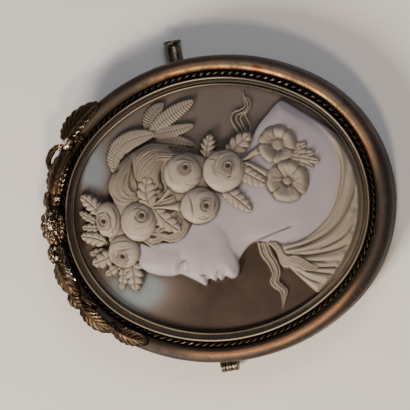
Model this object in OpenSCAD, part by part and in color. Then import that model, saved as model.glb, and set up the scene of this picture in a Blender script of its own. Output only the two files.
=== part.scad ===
// Oval pendant brooch: a carved shell cameo in a hollow gilt frame, with a rope border,
// an applied garland over the top, and a hinged pin, tube catch and chain loop behind.
// The brooch lies face up. +Y is the top of the brooch, +Z comes out of its face.

/* [Opening] */
// Half the height of the opening in the collar
open_a = 24.6; // [22:0.1:27]
// Half the width of the opening in the collar
open_b = 20.6; // [19:0.2:22]

/* [Frame] */
// Width of the plain collar round the cameo
collar_w = 1.4; // [1.2:0.1:1.8]
// Width of the channel that the rope border lies in
rope_w = 1.0; // [0.9:0.05:1.2]
// Width of the half-round moulding
moulding_w = 2.6; // [2.4:0.1:3.2]
// Height of the moulding from its back to its crest
moulding_h = 4.9; // [4:0.1:6]
// Height of the collar's outer ridge above the moulding's crest
ridge_rise = 0.4; // [0:0.1:1]
// Thickness of the metal sheet
sheet = 0.5; // [0.4:0.05:0.6]

/* [Cameo] */
// Rise of the carved ground from its rim to its middle
ground_rise = 1.9; // [1:0.1:3]
// Rise of the hollow back
hollow_rise = 1.6; // [0.5:0.1:2]
// Thickness of the shell at its rim
rim_t = 2.0; // [1.6:0.1:2.4]
// Cells across the carving
cells_x = 56; // [30:2:60]
// Cells up the carving
cells_y = 66; // [30:2:70]

/* [Pin and catch] */
// Height of the pin line above the middle of the brooch
pin_y = 3.7; // [0:0.1:8]
// Turn of the pin line, with its knob towards the top
pin_turn = 1.35; // [0:0.05:3]
// Radius of the pin's wire
pin_r = 0.4; // [0.3:0.05:0.5]
// Radius of the hinge knuckles
knuckle_r = 1.1; // [1:0.05:1.2]
// Outer radius of the catch tube
tube_r = 1.35; // [1.2:0.05:1.4]
// Radius of the knob's disc
knob_r = 1.5; // [1.4:0.05:1.6]
// How far the knob reaches past the frame
knob_reach = 3.6; // [3:0.1:5]

/* [Chain loop] */
// Radius of the hole in the chain loop
loop_hole_r = 0.7; // [0.6:0.05:0.7]
// Radius of the loop's outside
loop_r = 1.2; // [1.1:0.05:1.3]
// Width of the loop along the hole
loop_w = 1.0; // [0.8:0.1:1.5]

/* [Hidden] */
$fn = 64;
gap = 0.06;
// Cutters reach this far past what they cut
cut = 1;

// Heights above the surface that the brooch lies on
catch_z = knob_r;
pin_z = catch_z - 0.2;
pin_clear = 0.3;
back_z = pin_z + pin_r + pin_clear;
crest_r = moulding_w / 2;
crest_top = back_z + moulding_h;
crest_z = crest_top - crest_r;
ridge_z = crest_top + ridge_rise;
seat_z = crest_z + 0.2;

// Distances outwards from the edge of the opening
rope_u = collar_w + rope_w / 2;
crest_u = collar_w + rope_w + crest_r;
outer_u = collar_w + rope_w + moulding_w;
girdle_u = 0.7;
bezel_u = girdle_u + gap;
lip_t = 0.5;
ledge_reach = 0.6;
rope_r = rope_w / 2 - 0.05;

// The cameo between the lip and the ledge
lip_under_z = ridge_z - 1.6;
rim_z = lip_under_z - gap;
rim_low_z = rim_z - rim_t;
girdle_a = open_a + girdle_u;
girdle_b = open_b + girdle_u;

// The oval is four arcs, two round ends and two flatter sides. The arcs' centres and the
// middle are the corners of a right triangle with sides in the ratio of 3, 4 and 5.
oval_step = (open_a - open_b) / 2;
end_y = 3 * oval_step;
side_x = 4 * oval_step;
end_r = open_a - end_y;
side_r = open_b + side_x;

// Places along the pin line, which leaves the frame at its outer edge
frame_edge = sqrt(pow(side_r + outer_u, 2) - pin_y * pin_y) - side_x;
knuckle_out = 0.7;
knuckle_x = -(frame_edge + knuckle_out);
knuckle_w = 1.0;
ear_w = 0.9;
ear_run = 3.4;
hinge_w = knuckle_w + 2 * (ear_w + gap);
rivet_r = 0.38;
rivet_play = 0.03;
knuckle_play = 0.1;
tube_wall = 0.3;
tube_under = 4.6;
tube_start = frame_edge - tube_under;
knob_x = frame_edge + knob_reach;
knob_t = 0.55;
neck_l = 0.45;
tube_end = knob_x - knob_t - neck_l;

// The origin is under the middle of the whole brooch
last_x = knob_x * cos(pin_turn) + knob_r * sin(pin_turn);
first_x = (knuckle_x - knuckle_r) * cos(pin_turn) - hinge_w / 2 * sin(pin_turn);
shift_x = -(first_x + last_x) / 2;

// Sweeps a flat section, drawn outwards from the opening, round the oval. Each arc is a
// whole turn cut to its wedge, and neighbours meet on the line through their centres.
module round_oval() {
    wedge_x = 40;
    wedge_y = 30;
    wedge_h = 30;
    for (side = [0, 180])
        rotate([0, 0, side]) {
            translate([-side_x, 0, 0])
                intersection() {
                    rotate_extrude()
                        translate([side_r, 0])
                            children();
                    linear_extrude(wedge_h)
                        polygon([[0, 0], [wedge_x, -wedge_y], [wedge_x, wedge_y]]);
                }
            translate([0, end_y, 0])
                intersection() {
                    rotate_extrude()
                        translate([end_r, 0])
                            children();
                    linear_extrude(wedge_h)
                        polygon([[0, 0], [wedge_x, wedge_y], [-wedge_x, wedge_y]]);
                }
        }
}

// A block with a round top: the section of the moulding, drawn round its crest's centre
module arch(r, depth) {
    intersection() {
        circle(r);
        translate([-2 * r, 0])
            square([4 * r, 2 * r]);
    }
    translate([-r, -depth])
        square([2 * r, depth]);
}

// A thin inner ridge, a band that rises outwards, and the outer ridge
module collar_section() {
    soft = 0.12;
    inner_w = 0.3;
    outer_w = 0.4;
    inner_z = ridge_z - 0.7;
    band_z = ridge_z - 0.95;
    band_w = 0.4;
    polygon([
        [0, lip_under_z],
        [0, inner_z - soft],
        [soft, inner_z],
        [inner_w - soft, inner_z],
        [inner_w, band_z],
        [inner_w + band_w, band_z],
        [collar_w - outer_w, ridge_z - soft],
        [collar_w - outer_w + soft, ridge_z],
        [collar_w - soft, ridge_z],
        [collar_w, ridge_z - soft],
        [collar_w, lip_under_z]
    ]);
}

// The moulding and the channel's floor are hollow, and open behind through a slot
module frame_section() {
    slot_w = 1.0;
    difference() {
        union() {
            translate([crest_u, crest_z])
                arch(crest_r, crest_z - back_z);
            translate([bezel_u, back_z])
                square([crest_u - bezel_u, seat_z - back_z]);
        }
        translate([crest_u, crest_z])
            arch(crest_r - sheet, crest_z - back_z - sheet);
        translate([bezel_u + sheet, back_z + sheet])
            square([crest_u - bezel_u - sheet, seat_z - back_z - 2 * sheet]);
        translate([bezel_u + sheet, back_z - cut])
            square([slot_w, sheet + 2 * cut]);
    }
    collar_section();
    translate([-ledge_reach, rim_low_z - gap - lip_t])
        square([ledge_reach + bezel_u + sheet / 2, lip_t]);
}

// Puts what is drawn along X on the pin line
module on_pin_line() {
    translate([0, pin_y, 0])
        rotate([0, 0, pin_turn])
            children();
}

// A shaft across the hinge, along Y
module hinge_shaft(r, width) {
    translate([knuckle_x, 0, pin_z])
        rotate([90, 0, 0])
            cylinder(r = r, h = width, center = true);
}

// A shaft along the catch, along X
module catch_shaft(r, from, to) {
    translate([from, 0, catch_z])
        rotate([0, 90, 0])
            cylinder(r = r, h = to - from);
}

// The barrel of both ears, each with a foot that runs under the frame
module hinge_ears() {
    hinge_shaft(knuckle_r, hinge_w);
    for (side = [-1, 1])
        translate([knuckle_x, side * (hinge_w - ear_w) / 2 - ear_w / 2, pin_z])
            cube([ear_run, ear_w, back_z + sheet - pin_z]);
}

// A shaft through the chain loop, along X
module loop_shaft(r, width) {
    loop_in = 1;
    translate([0, open_a + outer_u - loop_r - loop_in, loop_r])
        rotate([0, 90, 0])
            cylinder(r = r, h = width, center = true);
}

module frame() {
    color("peru")
        translate([shift_x, 0, 0])
            difference() {
                union() {
                    round_oval()
                        frame_section();
                    on_pin_line() {
                        hinge_ears();
                        catch_shaft(tube_r, tube_start, tube_end);
                    }
                    loop_shaft(loop_r, loop_w);
                }
                on_pin_line() {
                    hinge_shaft(knuckle_r + knuckle_play, knuckle_w + 2 * gap);
                    hinge_shaft(rivet_r + rivet_play, hinge_w + cut);
                    catch_shaft(tube_r - tube_wall, tube_start - cut, tube_end + cut);
                }
                loop_shaft(loop_hole_r, loop_w + cut);
            }
}

// The plain wire here is the outside of the two twisted strands
module rope_border() {
    color("burlywood")
        translate([shift_x, 0, 0])
            round_oval()
                translate([rope_u, seat_z + rope_r + gap / 2])
                    circle(rope_r);
}

// One wire with a knuckle at the hinge and a point that ends inside the catch
module pin() {
    stem_start = knuckle_x + knuckle_r - 0.3;
    point_start = tube_start - 4;
    point_end = tube_start + 2;
    point_r = 0.1;
    color("silver")
        translate([shift_x, 0, 0])
            on_pin_line()
                difference() {
                    union() {
                        hinge_shaft(knuckle_r, knuckle_w);
                        translate([0, 0, pin_z])
                            rotate([0, 90, 0])
                                rotate_extrude()
                                    polygon([
                                        [0, stem_start],
                                        [pin_r, stem_start],
                                        [pin_r, point_start],
                                        [point_r, point_end],
                                        [0, point_end]
                                    ]);
                    }
                    hinge_shaft(rivet_r + rivet_play, hinge_w);
                }
}

module hinge_rivet() {
    color("silver")
        translate([shift_x, 0, 0])
            on_pin_line()
                hinge_shaft(rivet_r, hinge_w);
}

// A sleeve that slides in the tube, closed by the knob's disc, with a bore for the point
module catch_plunger() {
    sleeve_r = tube_r - tube_wall - gap;
    sleeve_out = 0.3;
    sleeve_wall = 0.25;
    bore = 4;
    color("tan")
        translate([shift_x, 0, 0])
            on_pin_line()
                difference() {
                    union() {
                        catch_shaft(sleeve_r, tube_start - sleeve_out, knob_x - knob_t / 2);
                        catch_shaft(knob_r, knob_x - knob_t, knob_x);
                    }
                    catch_shaft(sleeve_r - sleeve_wall, tube_start - cut, tube_start + bore);
                }
}

// The garland: place, turn from +X, length, width and height of each leaf and curl
GARLAND_LEAVES = [
    // x, y, turn, length, width, height
    [17.9, 20.4, -48, 7.2, 3.0, 1.4],
    [9.9, 25.2, -30, 6.8, 3.4, 1.5],
    [12.0, 26.3, -38, 4.4, 1.5, 1.3],
    [5.8, 26.8, -4, 3.2, 2.2, 1.2],
    [-3.4, 27.8, 182, 3.8, 2.5, 1.2],
    [-7.6, 26.5, 204, 6.0, 2.9, 1.5],
    [-11.2, 25.5, 214, 3.2, 2.4, 1.5],
    [-12.0, 23.8, 218, 4.2, 1.1, 1.2],
    [-14.7, 22.9, 225, 6.2, 2.6, 1.5],
    [-18.8, 17.5, 241, 6.6, 2.5, 1.4]
];

// Buds and seed heads
GARLAND_BUDS = [
    // x, y, radius
    [14.5, 23.3, 1.1],
    [8.0, 25.6, 0.8],
    [-5.0, 27.6, 0.8],
    [-9.6, 25.6, 0.8],
    [-17.0, 20.3, 0.8]
];
rosette = [1.4, 27.5];
rosette_petals = 8;
rosette_stretch = [1.15, 0.8, 1];

// A leaf is thick near its middle and thin at its foot and its tip
module garland_leaf(length, width, height) {
    body_share = 0.28;
    end_drop = 0.1;
    foot_r = 0.2;
    tip_r = 0.12;
    hull() {
        scale([length * body_share, width / 2, height / 2])
            sphere(1, $fn = 10);
        translate([length / 2, 0, -height * end_drop])
            sphere(tip_r, $fn = 5);
        translate([-length / 2, 0, -height * end_drop])
            sphere(foot_r, $fn = 5);
    }
}

// A ring of petals round a bud, drawn round and then stretched along the frame
module garland_rosette() {
    petal_at = 1.6;
    petal = [1.2, 0.75, 0.8];
    bud_r = 1.0;
    bud_rise = 0.3;
    scale(rosette_stretch)
        for (i = [0 : rosette_petals - 1])
            rotate([0, 0, i * 360 / rosette_petals])
                translate([petal_at, 0, 0])
                    scale(petal)
                        sphere(1, $fn = 8);
    translate([0, 0, bud_rise])
        sphere(bud_r, $fn = 10);
}

// Points of the stem, which runs along the crest of the moulding, by angle from +Y
function on_crest(angle) = [
    -sin(angle) * (end_r + crest_u),
    end_y + cos(angle) * (end_r + crest_u),
    crest_top
];

module garland_stem() {
    from = -48;
    to = 52;
    step = 10;
    stem_r = 0.45;
    for (angle = [from : step : to - step])
        hull()
            for (end = [0, step])
                translate(on_crest(angle + end))
                    sphere(stem_r, $fn = 6);
}

module garland_parts() {
    lift = crest_top + 0.15;
    for (leaf = GARLAND_LEAVES)
        translate([leaf[0], leaf[1], lift])
            rotate([0, 0, leaf[2]])
                garland_leaf(leaf[3], leaf[4], leaf[5]);
    for (bud = GARLAND_BUDS)
        translate([bud[0], bud[1], lift])
            sphere(bud[2], $fn = 10);
    translate([rosette[0], rosette[1], lift])
        garland_rosette();
    garland_stem();
}

// Sweeps what the garland stays clear of. The arcs run past each other, so that no skin
// is left between them.
module clear_of_oval() {
    past = 3;
    end_half = 90 - atan(3 / 4) + past;
    side_half = atan(3 / 4) + past;
    translate([0, end_y, 0])
        rotate([0, 0, 90 - end_half])
            rotate_extrude(angle = 2 * end_half, $fn = 72)
                translate([end_r, 0])
                    children();
    for (side = [0, 180])
        rotate([0, 0, side])
            translate([-side_x, 0, 0])
                rotate([0, 0, -side_half])
                    rotate_extrude(angle = 2 * side_half, $fn = 72)
                        translate([side_r, 0])
                            children();
}

module garland() {
    hang = 0.3;
    past_edge = 2;
    color("sienna")
        translate([shift_x, 0, 0])
            difference() {
                garland_parts();
                clear_of_oval() {
                    translate([crest_u, crest_z])
                        arch(crest_r + gap, crest_z, $fn = 20);
                    translate([collar_w, 0])
                        square([outer_u - collar_w + past_edge, crest_z - hang]);
                    square([collar_w + rope_w + gap, ridge_z + gap]);
                }
            }
}

// The carving: rounded strokes from one point to another, each with a radius at both
// ends and a height above the ground. Where strokes cross, the higher one shows.
BUST = [
    // x1, y1, r1, x2, y2, r2, height
    [-1.5, 5, 5.0, -2.2, -5, 4.4, 1.5],
    [-2.0, -5, 4.4, 1.5, -10, 6.0, 1.4],
    [8, -8, 3.4, -3, -15, 4.4, 1.1],
    [13.5, -13.2, 2.2, 6, -12, 4.2, 1.0],
    [-8.6, -11.4, 2.2, -13.4, -15.6, 2.0, 1.2],
    [-10, -14.6, 3.4, -2.4, -19.6, 3.4, 1.2],
    [9.4, -17, 2.8, 1, -19, 3.6, 1.2],
    [12.6, -16.2, 1.3, 6.4, -20.8, 1.1, 1.6],
    [4.4, -17.2, 1.3, -8.4, -11.2, 1.2, 2.0],
    [3.4, -20.4, 1.3, -10, -13.6, 1.2, 2.0],
    [-1.4, -22.0, 1.2, -12.4, -15.8, 1.1, 1.9]
];

// A plain classical head in profile, of even thirds from hairline to brow to nose to chin.
// Its outline is given in heads: forwards from the forehead, and down from the hairline.
head_size = 19;
head_turn = 10;
hairline = [-8.7, 14.2];
face_height = 1.9;
face_soft = 3.2;
PROFILE = [
    // forwards, down
    [-0.02, -0.02],
    [0.014, 0.12],
    [0.020, 0.27],
    [0.002, 0.33],
    [0.050, 0.43],
    [0.100, 0.53],
    [0.080, 0.565],
    [0.030, 0.575],
    [0.050, 0.64],
    [0.034, 0.70],
    [0.006, 0.735],
    [0.022, 0.80],
    [-0.02, 0.86],
    [-0.20, 0.82],
    [-0.42, 0.74],
    [-0.56, 0.40],
    [-0.42, 0.0]
];
head_outline = [
    for (p = PROFILE)
        hairline + head_size * (p[0] * [-cos(head_turn), sin(head_turn)]
                              + p[1] * [-sin(head_turn), -cos(head_turn)])
];

HAIR = [
    // x1, y1, r1, x2, y2, r2, height
    [11.0, 14.6, 3.2, 8.4, 8.4, 3.8, 2.1],
    [4.6, 15.2, 3.4, 10.8, 11.2, 3.2, 2.2],
    [-4.2, 12.0, 1.5, -2.0, 5.8, 1.4, 2.2],
    [-0.6, 5.6, 1.4, 4.4, -1.4, 1.8, 2.2],
    [8.8, -1.6, 2.0, 3.2, -3.6, 1.6, 2.0],
    [8.6, -4.6, 0.7, 12.8, -5.6, 0.7, 1.0],
    [12.8, -5.6, 0.6, 15.0, -4.8, 0.6, 0.9],
    [15.0, -4.8, 0.6, 16.6, -7.0, 0.6, 0.9],
    [16.6, -7.0, 0.6, 18.4, -6.5, 0.3, 0.8],
    [-6.6, -6.4, 0.6, -10.2, -7.6, 0.6, 1.0],
    [-10.2, -7.6, 0.6, -13.5, -7.9, 0.6, 1.0],
    [-13.5, -7.9, 0.6, -17.2, -8.3, 0.3, 0.9],
    [-6.8, -7.0, 0.7, -9.6, -9.6, 0.7, 2.0],
    [-9.6, -9.6, 0.7, -10.9, -12.4, 0.7, 1.8],
    [-10.9, -12.4, 0.7, -12.6, -15.4, 0.4, 1.8]
];

LEAVES = [
    // x1, y1, r1, x2, y2, r2, height
    [15.1, 7.0, 1.0, 18.0, 2.0, 0.5, 1.0],
    [15.1, 10.4, 0.9, 17.6, 7.6, 0.5, 1.0],
    [13.9, 6.8, 0.8, 14.7, 2.2, 0.4, 1.0],
    [13.0, 6.6, 0.7, 10.8, 2.4, 0.5, 1.2],
    [14.6, 10.2, 0.8, 9.8, 17.2, 0.6, 1.3],
    [2.2, 9.8, 0.9, 5.4, 10.6, 0.5, 2.6],
    [1.2, 9.8, 1.0, -1.7, 7.0, 0.5, 2.6],
    [2.6, 20.0, 0.8, 5.0, 22.2, 0.4, 1.3],
    [-0.4, 21.4, 0.9, -0.9, 23.4, 0.4, 1.3],
    [-3.0, 20.2, 0.8, -0.9, 22.9, 0.4, 1.3],
    [-5.2, 19.6, 0.8, -6.4, 22.0, 0.4, 1.3],
    [-6.9, 17.8, 0.9, -8.4, 20.0, 0.4, 1.3],
    [-7.6, 15.8, 0.9, -10.6, 16.1, 0.4, 1.3],
    [9.0, 0.6, 0.8, 11.6, -0.3, 0.4, 1.2],
    [8.6, -4.4, 0.8, 10.9, -6.8, 0.4, 1.2],
    [2.6, -2.6, 1.0, -0.4, -5.6, 0.5, 2.4],
    [6.6, -5.4, 1.0, 3.2, -8.6, 0.5, 1.8],
    [7.4, -14.4, 0.9, 5.2, -17.6, 0.5, 1.9]
];

// Flowers: place, radius and height of the petals above the ground
FLOWERS = [
    // x, y, radius, height
    [6.7, 4.8, 3.2, 3.0],
    [6.1, -2.2, 3.5, 3.0],
    [1.0, 2.7, 3.2, 3.1],
    [-0.1, 13.5, 3.2, 3.1],
    [1.0, 18.8, 2.6, 2.4],
    [-4.6, 16.9, 2.8, 2.6],
    [9.2, -11.7, 3.0, 2.2],
    [3.0, -12.6, 3.2, 2.3]
];

// The carving sits this far below where it is drawn
carving_drop = 0.35;
// The ground stays flat up to this share of its rise, so the lip lies over a flat edge
flat_border = 0.1;
// Share of the ground's rise below which the stone's border is left plain
plain_border = 0.13;
// How quickly strokes and petals round over towards their edges
roundness = 0.6;

function ground(x, y) = 1 - pow(x / girdle_b, 2) - pow(y / girdle_a, 2);

// Share of the way from a to b at which p lies nearest, and its distance there
function nearest(p, a, b) = max(0, min(1, ((p - a) * (b - a)) / ((b - a) * (b - a))));
function distance(p, a, b) = norm(p - a - nearest(p, a, b) * (b - a));

// A stroke narrower than the cells of the carving is drawn as wide as they need
least_r = 0.85;
function stroke_height(p, s) =
    let (
        a = [s[0], s[1]],
        b = [s[3], s[4]],
        r = max(least_r, s[2] + nearest(p, a, b) * (s[5] - s[2])),
        share = distance(p, a, b) / r
    )
    share >= 1 ? 0 : s[6] * pow(1 - share * share, roundness);

// The head rises from its outline in a quarter round, from a low cut side
face_side = 0.45;
function crossings(p, i) =
    let (a = head_outline[i], b = head_outline[(i + 1) % len(head_outline)])
    (a[1] > p[1]) != (b[1] > p[1])
    && p[0] < a[0] + (b[0] - a[0]) * (p[1] - a[1]) / (b[1] - a[1]) ? 1 : 0;
function inside_head(p) =
    let (hits = [for (i = [0 : len(head_outline) - 1]) crossings(p, i)])
    (hits * [for (i = hits) 1]) % 2 == 1;
function head_height(p) =
    !inside_head(p) ? 0 :
    let (
        edge = min([
            for (i = [0 : len(head_outline) - 1])
                distance(p, head_outline[i], head_outline[(i + 1) % len(head_outline)])
        ]),
        inward = 1 - min(1, edge / face_soft)
    )
    face_height * (face_side + (1 - face_side) * sqrt(1 - inward * inward));

// A flower is a ball of petals with a ring cut round its eye
ring_at = 0.4;
ring_w = 0.16;
ring_depth = 0.5;
function flower_height(p, f) =
    let (share = norm(p - [f[0], f[1]]) / f[2])
    share >= 1 ? 0 : f[3] * pow(1 - pow(share, 3), roundness)
        - ring_depth * exp(-pow((share - ring_at) / ring_w, 2));

function relief(p) = max(
    max([for (s = BUST) stroke_height(p, s)]),
    head_height(p),
    max([for (s = HAIR) stroke_height(p, s)]),
    max([for (s = LEAVES) stroke_height(p, s)]),
    max([for (f = FLOWERS) flower_height(p, f)])
);

// A square of cells is pressed into the oval, so that its edge lies on the girdle
function in_oval(i, j) =
    let (u = 2 * i / cells_x - 1, v = 2 * j / cells_y - 1)
    [girdle_b * u * sqrt(1 - v * v / 2), girdle_a * v * sqrt(1 - u * u / 2)];
function face_z(p) =
    let (height = ground(p[0], p[1]))
    rim_z + ground_rise * max(0, height - flat_border) / (1 - flat_border)
        + (height < plain_border ? 0 : relief(p + [0, carving_drop]));

module cameo() {
    row = cells_x + 1;
    face = [
        for (j = [0 : cells_y])
            for (i = [0 : cells_x])
                let (p = in_oval(i, j))
                [p[0], p[1], face_z(p)]
    ];
    edge = concat(
        [for (i = [0 : cells_x - 1]) i],
        [for (j = [0 : cells_y - 1]) j * row + cells_x],
        [for (i = [cells_x : -1 : 1]) cells_y * row + i],
        [for (j = [cells_y : -1 : 1]) j * row]
    );
    count = len(edge);
    back_rings = [1, 0.72, 0.4];
    back = [
        for (share = back_rings)
            for (k = edge)
                [
                    face[k][0] * share,
                    face[k][1] * share,
                    rim_low_z + hollow_rise * (1 - share * share)
                ]
    ];
    middle = [[0, 0, rim_low_z + hollow_rise]];
    first_back = len(face);
    last = first_back + len(back);
    color("antiquewhite")
        translate([shift_x, 0, 0])
            polyhedron(
                points = concat(face, back, middle),
                faces = concat(
                    [
                        for (j = [0 : cells_y - 1])
                            for (i = [0 : cells_x - 1])
                                for (half = [0, 1])
                                    let (a = j * row + i)
                                    half == 0 ? [a, a + row, a + 1]
                                              : [a + 1, a + row, a + row + 1]
                    ],
                    [
                        for (k = [0 : count - 1])
                            for (half = [0, 1])
                                let (n = (k + 1) % count)
                                half == 0 ? [edge[k], edge[n], first_back + k]
                                          : [edge[n], first_back + n, first_back + k]
                    ],
                    [
                        for (r = [0 : len(back_rings) - 2])
                            for (k = [0 : count - 1])
                                for (half = [0, 1])
                                    let (
                                        n = (k + 1) % count,
                                        a = first_back + r * count,
                                        b = a + count
                                    )
                                    half == 0 ? [a + k, a + n, b + k]
                                              : [a + n, b + n, b + k]
                    ],
                    [
                        for (k = [0 : count - 1])
                            let (a = last - count)
                            [a + k, a + (k + 1) % count, last]
                    ]
                )
            );
}

frame();
rope_border();
garland();
cameo();
pin();
hinge_rivet();
catch_plunger();
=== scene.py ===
# %% [markdown]
# # A pendant brooch with a carved shell cameo
#
# The brooch is a hollow gilt frame round an oval piece of shell. The shell has a pale layer over a
# brown one, and the carver cut the pale layer into a head with a wreath of roses, so the ground
# round it is the brown layer. A twisted wire lies in a channel round the collar, a cast garland is
# set over the top, and a pin with a tube catch is behind. This lesson dresses the plain solids of
# the construction model, which stays as the frame that every piece is placed on.

# %% Load the frame
import math

import bmesh
import bpy
import numpy as np
from mathutils import Matrix, Vector


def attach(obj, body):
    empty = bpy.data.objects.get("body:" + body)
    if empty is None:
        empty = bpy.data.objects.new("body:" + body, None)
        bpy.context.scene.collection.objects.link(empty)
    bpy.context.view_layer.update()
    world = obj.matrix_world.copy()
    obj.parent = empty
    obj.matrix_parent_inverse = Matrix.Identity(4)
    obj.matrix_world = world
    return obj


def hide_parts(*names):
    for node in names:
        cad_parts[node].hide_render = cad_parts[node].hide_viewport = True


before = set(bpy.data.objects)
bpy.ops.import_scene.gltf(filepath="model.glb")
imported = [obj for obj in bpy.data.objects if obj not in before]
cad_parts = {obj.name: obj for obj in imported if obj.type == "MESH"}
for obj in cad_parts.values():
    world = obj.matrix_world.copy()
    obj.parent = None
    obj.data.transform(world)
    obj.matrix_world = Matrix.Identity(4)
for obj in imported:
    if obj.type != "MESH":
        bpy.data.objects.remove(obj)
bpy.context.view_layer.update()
MM = 0.001
print("nodes:", sorted(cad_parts))

# %% [markdown]
# ## Sizes of the frame
#
# The numbers below are the construction model's own, in millimetres. A place on the frame is given
# by its direction round the oval and by how far it is outside the opening. The oval is four arcs,
# two round ends and two flatter sides. Their centres and the middle are the corners of a right
# triangle of 3, 4 and 5, so a piece that is swept round it has the same section all the way. The
# brooch is 0.9 mm off the middle of the row, because its knob reaches further out than its hinge.

# %% The oval and the heights of the frame
SHIFT_X = -0.9002
OPENING_A = 24.6
OPENING_B = 20.6
COLLAR_W = 1.4
ROPE_W = 1.0
CREST_R = 1.3
CREST_U = COLLAR_W + ROPE_W + CREST_R
OUTER_U = CREST_U + CREST_R
TOP_U = CREST_U - 0.2
BACK_Z = 2.0
CREST_Z = 5.6
RIDGE_Z = 7.3
SEAT_Z = 5.8
SHEET = 0.5
END_Y = 6.0
SIDE_X = 8.0
END_R = OPENING_A - END_Y
SIDE_R = OPENING_B + SIDE_X
SIDE_REACH = math.atan2(3, 4)


def oval(turn, out):
    """The place a distance outside the opening where the oval faces a direction, in mm."""
    turn = np.asarray(turn, float)
    c, s = np.cos(turn), np.sin(turn)
    side = np.abs(c) >= math.cos(SIDE_REACH) - 1e-9
    centre_x = np.where(side, -SIDE_X * np.sign(c), 0)
    centre_y = np.where(side, 0, END_Y * np.sign(s))
    radius = np.where(side, SIDE_R, END_R) + out
    return centre_x + radius * c, centre_y + radius * s


def outside(x, y):
    """How far a place is outside the opening, in mm."""
    is_side = np.abs(y) * SIDE_X <= END_Y * (np.abs(x) + SIDE_X)
    on_side = np.hypot(np.abs(x) + SIDE_X, y) - SIDE_R
    on_end = np.hypot(x, np.abs(y) - END_Y) - END_R
    return np.where(is_side, on_side, on_end)


channel = oval(np.linspace(0, 2 * math.pi, 721), COLLAR_W + ROPE_W / 2)
length = np.hypot(*np.diff(channel, axis=1)).sum()
print("the channel is", round(float(length), 1), "mm round")

# %% [markdown]
# ## Camera, floor and light
#
# The photograph looks down on the brooch, which lies on its back with its top to the left, so the
# picture's up is the brooch's right. The camera leans 12 degrees from straight above, towards the
# foot of the brooch. Both ends of the oval look equally large, so it stands well over a metre away
# with a very long lens. The floor is plain and pale.
#
# A moulding shows where its light is. Its inner slope is bright at the picture's top and dark at
# the bottom, so the main lamp stands low beyond the picture's lower left, and painted shade in the
# finish darkens the bottom as well. A narrow band runs along the crest at the lower right, which a
# small second lamp makes together with a highlight painted there. A large weak one on the other
# side keeps the shadows open.

# %% Camera
TARGET = Vector((SHIFT_X + 0.97, 1.9, 7.0)) * MM
DISTANCE = 1200 * MM
LEAN = math.radians(12)
ROLL = math.radians(9)
WIDTH_SEEN = 68.3 * MM
FILM_WIDTH = 36


def add_object(name, data):
    """A new object in the scene, at its origin."""
    made = bpy.data.objects.new(name, data)
    bpy.context.scene.collection.objects.link(made)
    return made


camera_data = bpy.data.cameras.new("camera")
camera = add_object("camera", camera_data)
look = Vector((0, math.sin(LEAN), -math.cos(LEAN)))
up = Vector((math.cos(ROLL), -math.sin(ROLL), 0))
up = (up - up.dot(look) * look).normalized()
right = look.cross(up)
camera.matrix_world = Matrix.Translation(TARGET - look * DISTANCE) @ Matrix(
    (right, up, -look)).transposed().to_4x4()
camera_data.sensor_width = FILM_WIDTH
camera_data.lens = FILM_WIDTH * DISTANCE / WIDTH_SEEN
camera_data.clip_start = 0.1
camera_data.clip_end = 10
bpy.context.scene.camera = camera
print("lens:", round(camera_data.lens, 1), "mm")


# %% Floor and lamps
def linear(code):
    """A colour written as sRGB hex, as the linear values that a shader reads."""
    channels = [int(code[i:i + 2], 16) / 255 for i in (1, 3, 5)]
    return [c / 12.92 if c <= 0.04045 else ((c + 0.055) / 1.055) ** 2.4 for c in channels] + [1.0]


def plug(made, **inputs):
    """Sets a node's inputs by name, or by number as in i6. A node gives its first output in use."""
    for key, value in inputs.items():
        numbered = key[0] == "i" and key[1:].isdigit()
        socket = made.inputs[int(key[1:]) if numbered else key.replace("_", " ")]
        if isinstance(value, bpy.types.Node):
            value = next(output for output in value.outputs if output.enabled)
        if isinstance(value, bpy.types.NodeSocket):
            made.id_data.links.new(value, socket)
        else:
            socket.default_value = value
    return made


def node(tree, kind, settings=None, **inputs):
    """Adds a shader node by its short name, or any other by its full one, with its settings."""
    made = tree.nodes.new(kind if "Node" in kind else "ShaderNode" + kind)
    for key, value in (settings or {}).items():
        setattr(made, key, value)
    return plug(made, **inputs)


def new_material(name):
    """An empty material, with its Principled shader."""
    material = bpy.data.materials.new(name)
    material.use_nodes = True
    tree = material.node_tree
    shader = next(n for n in tree.nodes if n.type == "BSDF_PRINCIPLED")
    return material, tree, shader


floor_material, tree, shader = new_material("paper_matte")
plug(shader, Base_Color=linear("#ECE9E3"), Roughness=0.9)
floor_mesh = bpy.data.meshes.new("floor")
corners = [(-2, -2, 0), (2, -2, 0), (2, 2, 0), (-2, 2, 0)]
floor_mesh.from_pydata(corners, [], [(0, 1, 2, 3)])
floor_mesh.materials.append(floor_material)
floor = add_object("floor", floor_mesh)


def lamp(name, place, size, power, colour):
    """A soft square lamp that faces the brooch, with its place in mm."""
    data = bpy.data.lights.new(name, "AREA")
    data.shape = "SQUARE"
    data.size = size * MM
    data.energy = power
    data.color = linear(colour)[:3]
    lamp_object = add_object(name, data)
    lamp_object.location = Vector(place) * MM
    lamp_object.rotation_euler = (TARGET - lamp_object.location).to_track_quat("-Z", "Y").to_euler()


lamp("key_lamp", (-280, 250, 215), 130, 2.6, "#FFF3E6")
lamp("crest_lamp", (-281, -18, 324), 60, 0.8, "#FFE6CC")
lamp("fill_lamp", (240, -120, 330), 200, 0.6, "#F2F3FF")
world = bpy.data.worlds.new("studio")
bpy.context.scene.world = world
world.use_nodes = True
background = next(n for n in world.node_tree.nodes if n.type == "BACKGROUND")
plug(background, Color=linear("#C9CDD2"), Strength=0.12)
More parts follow.
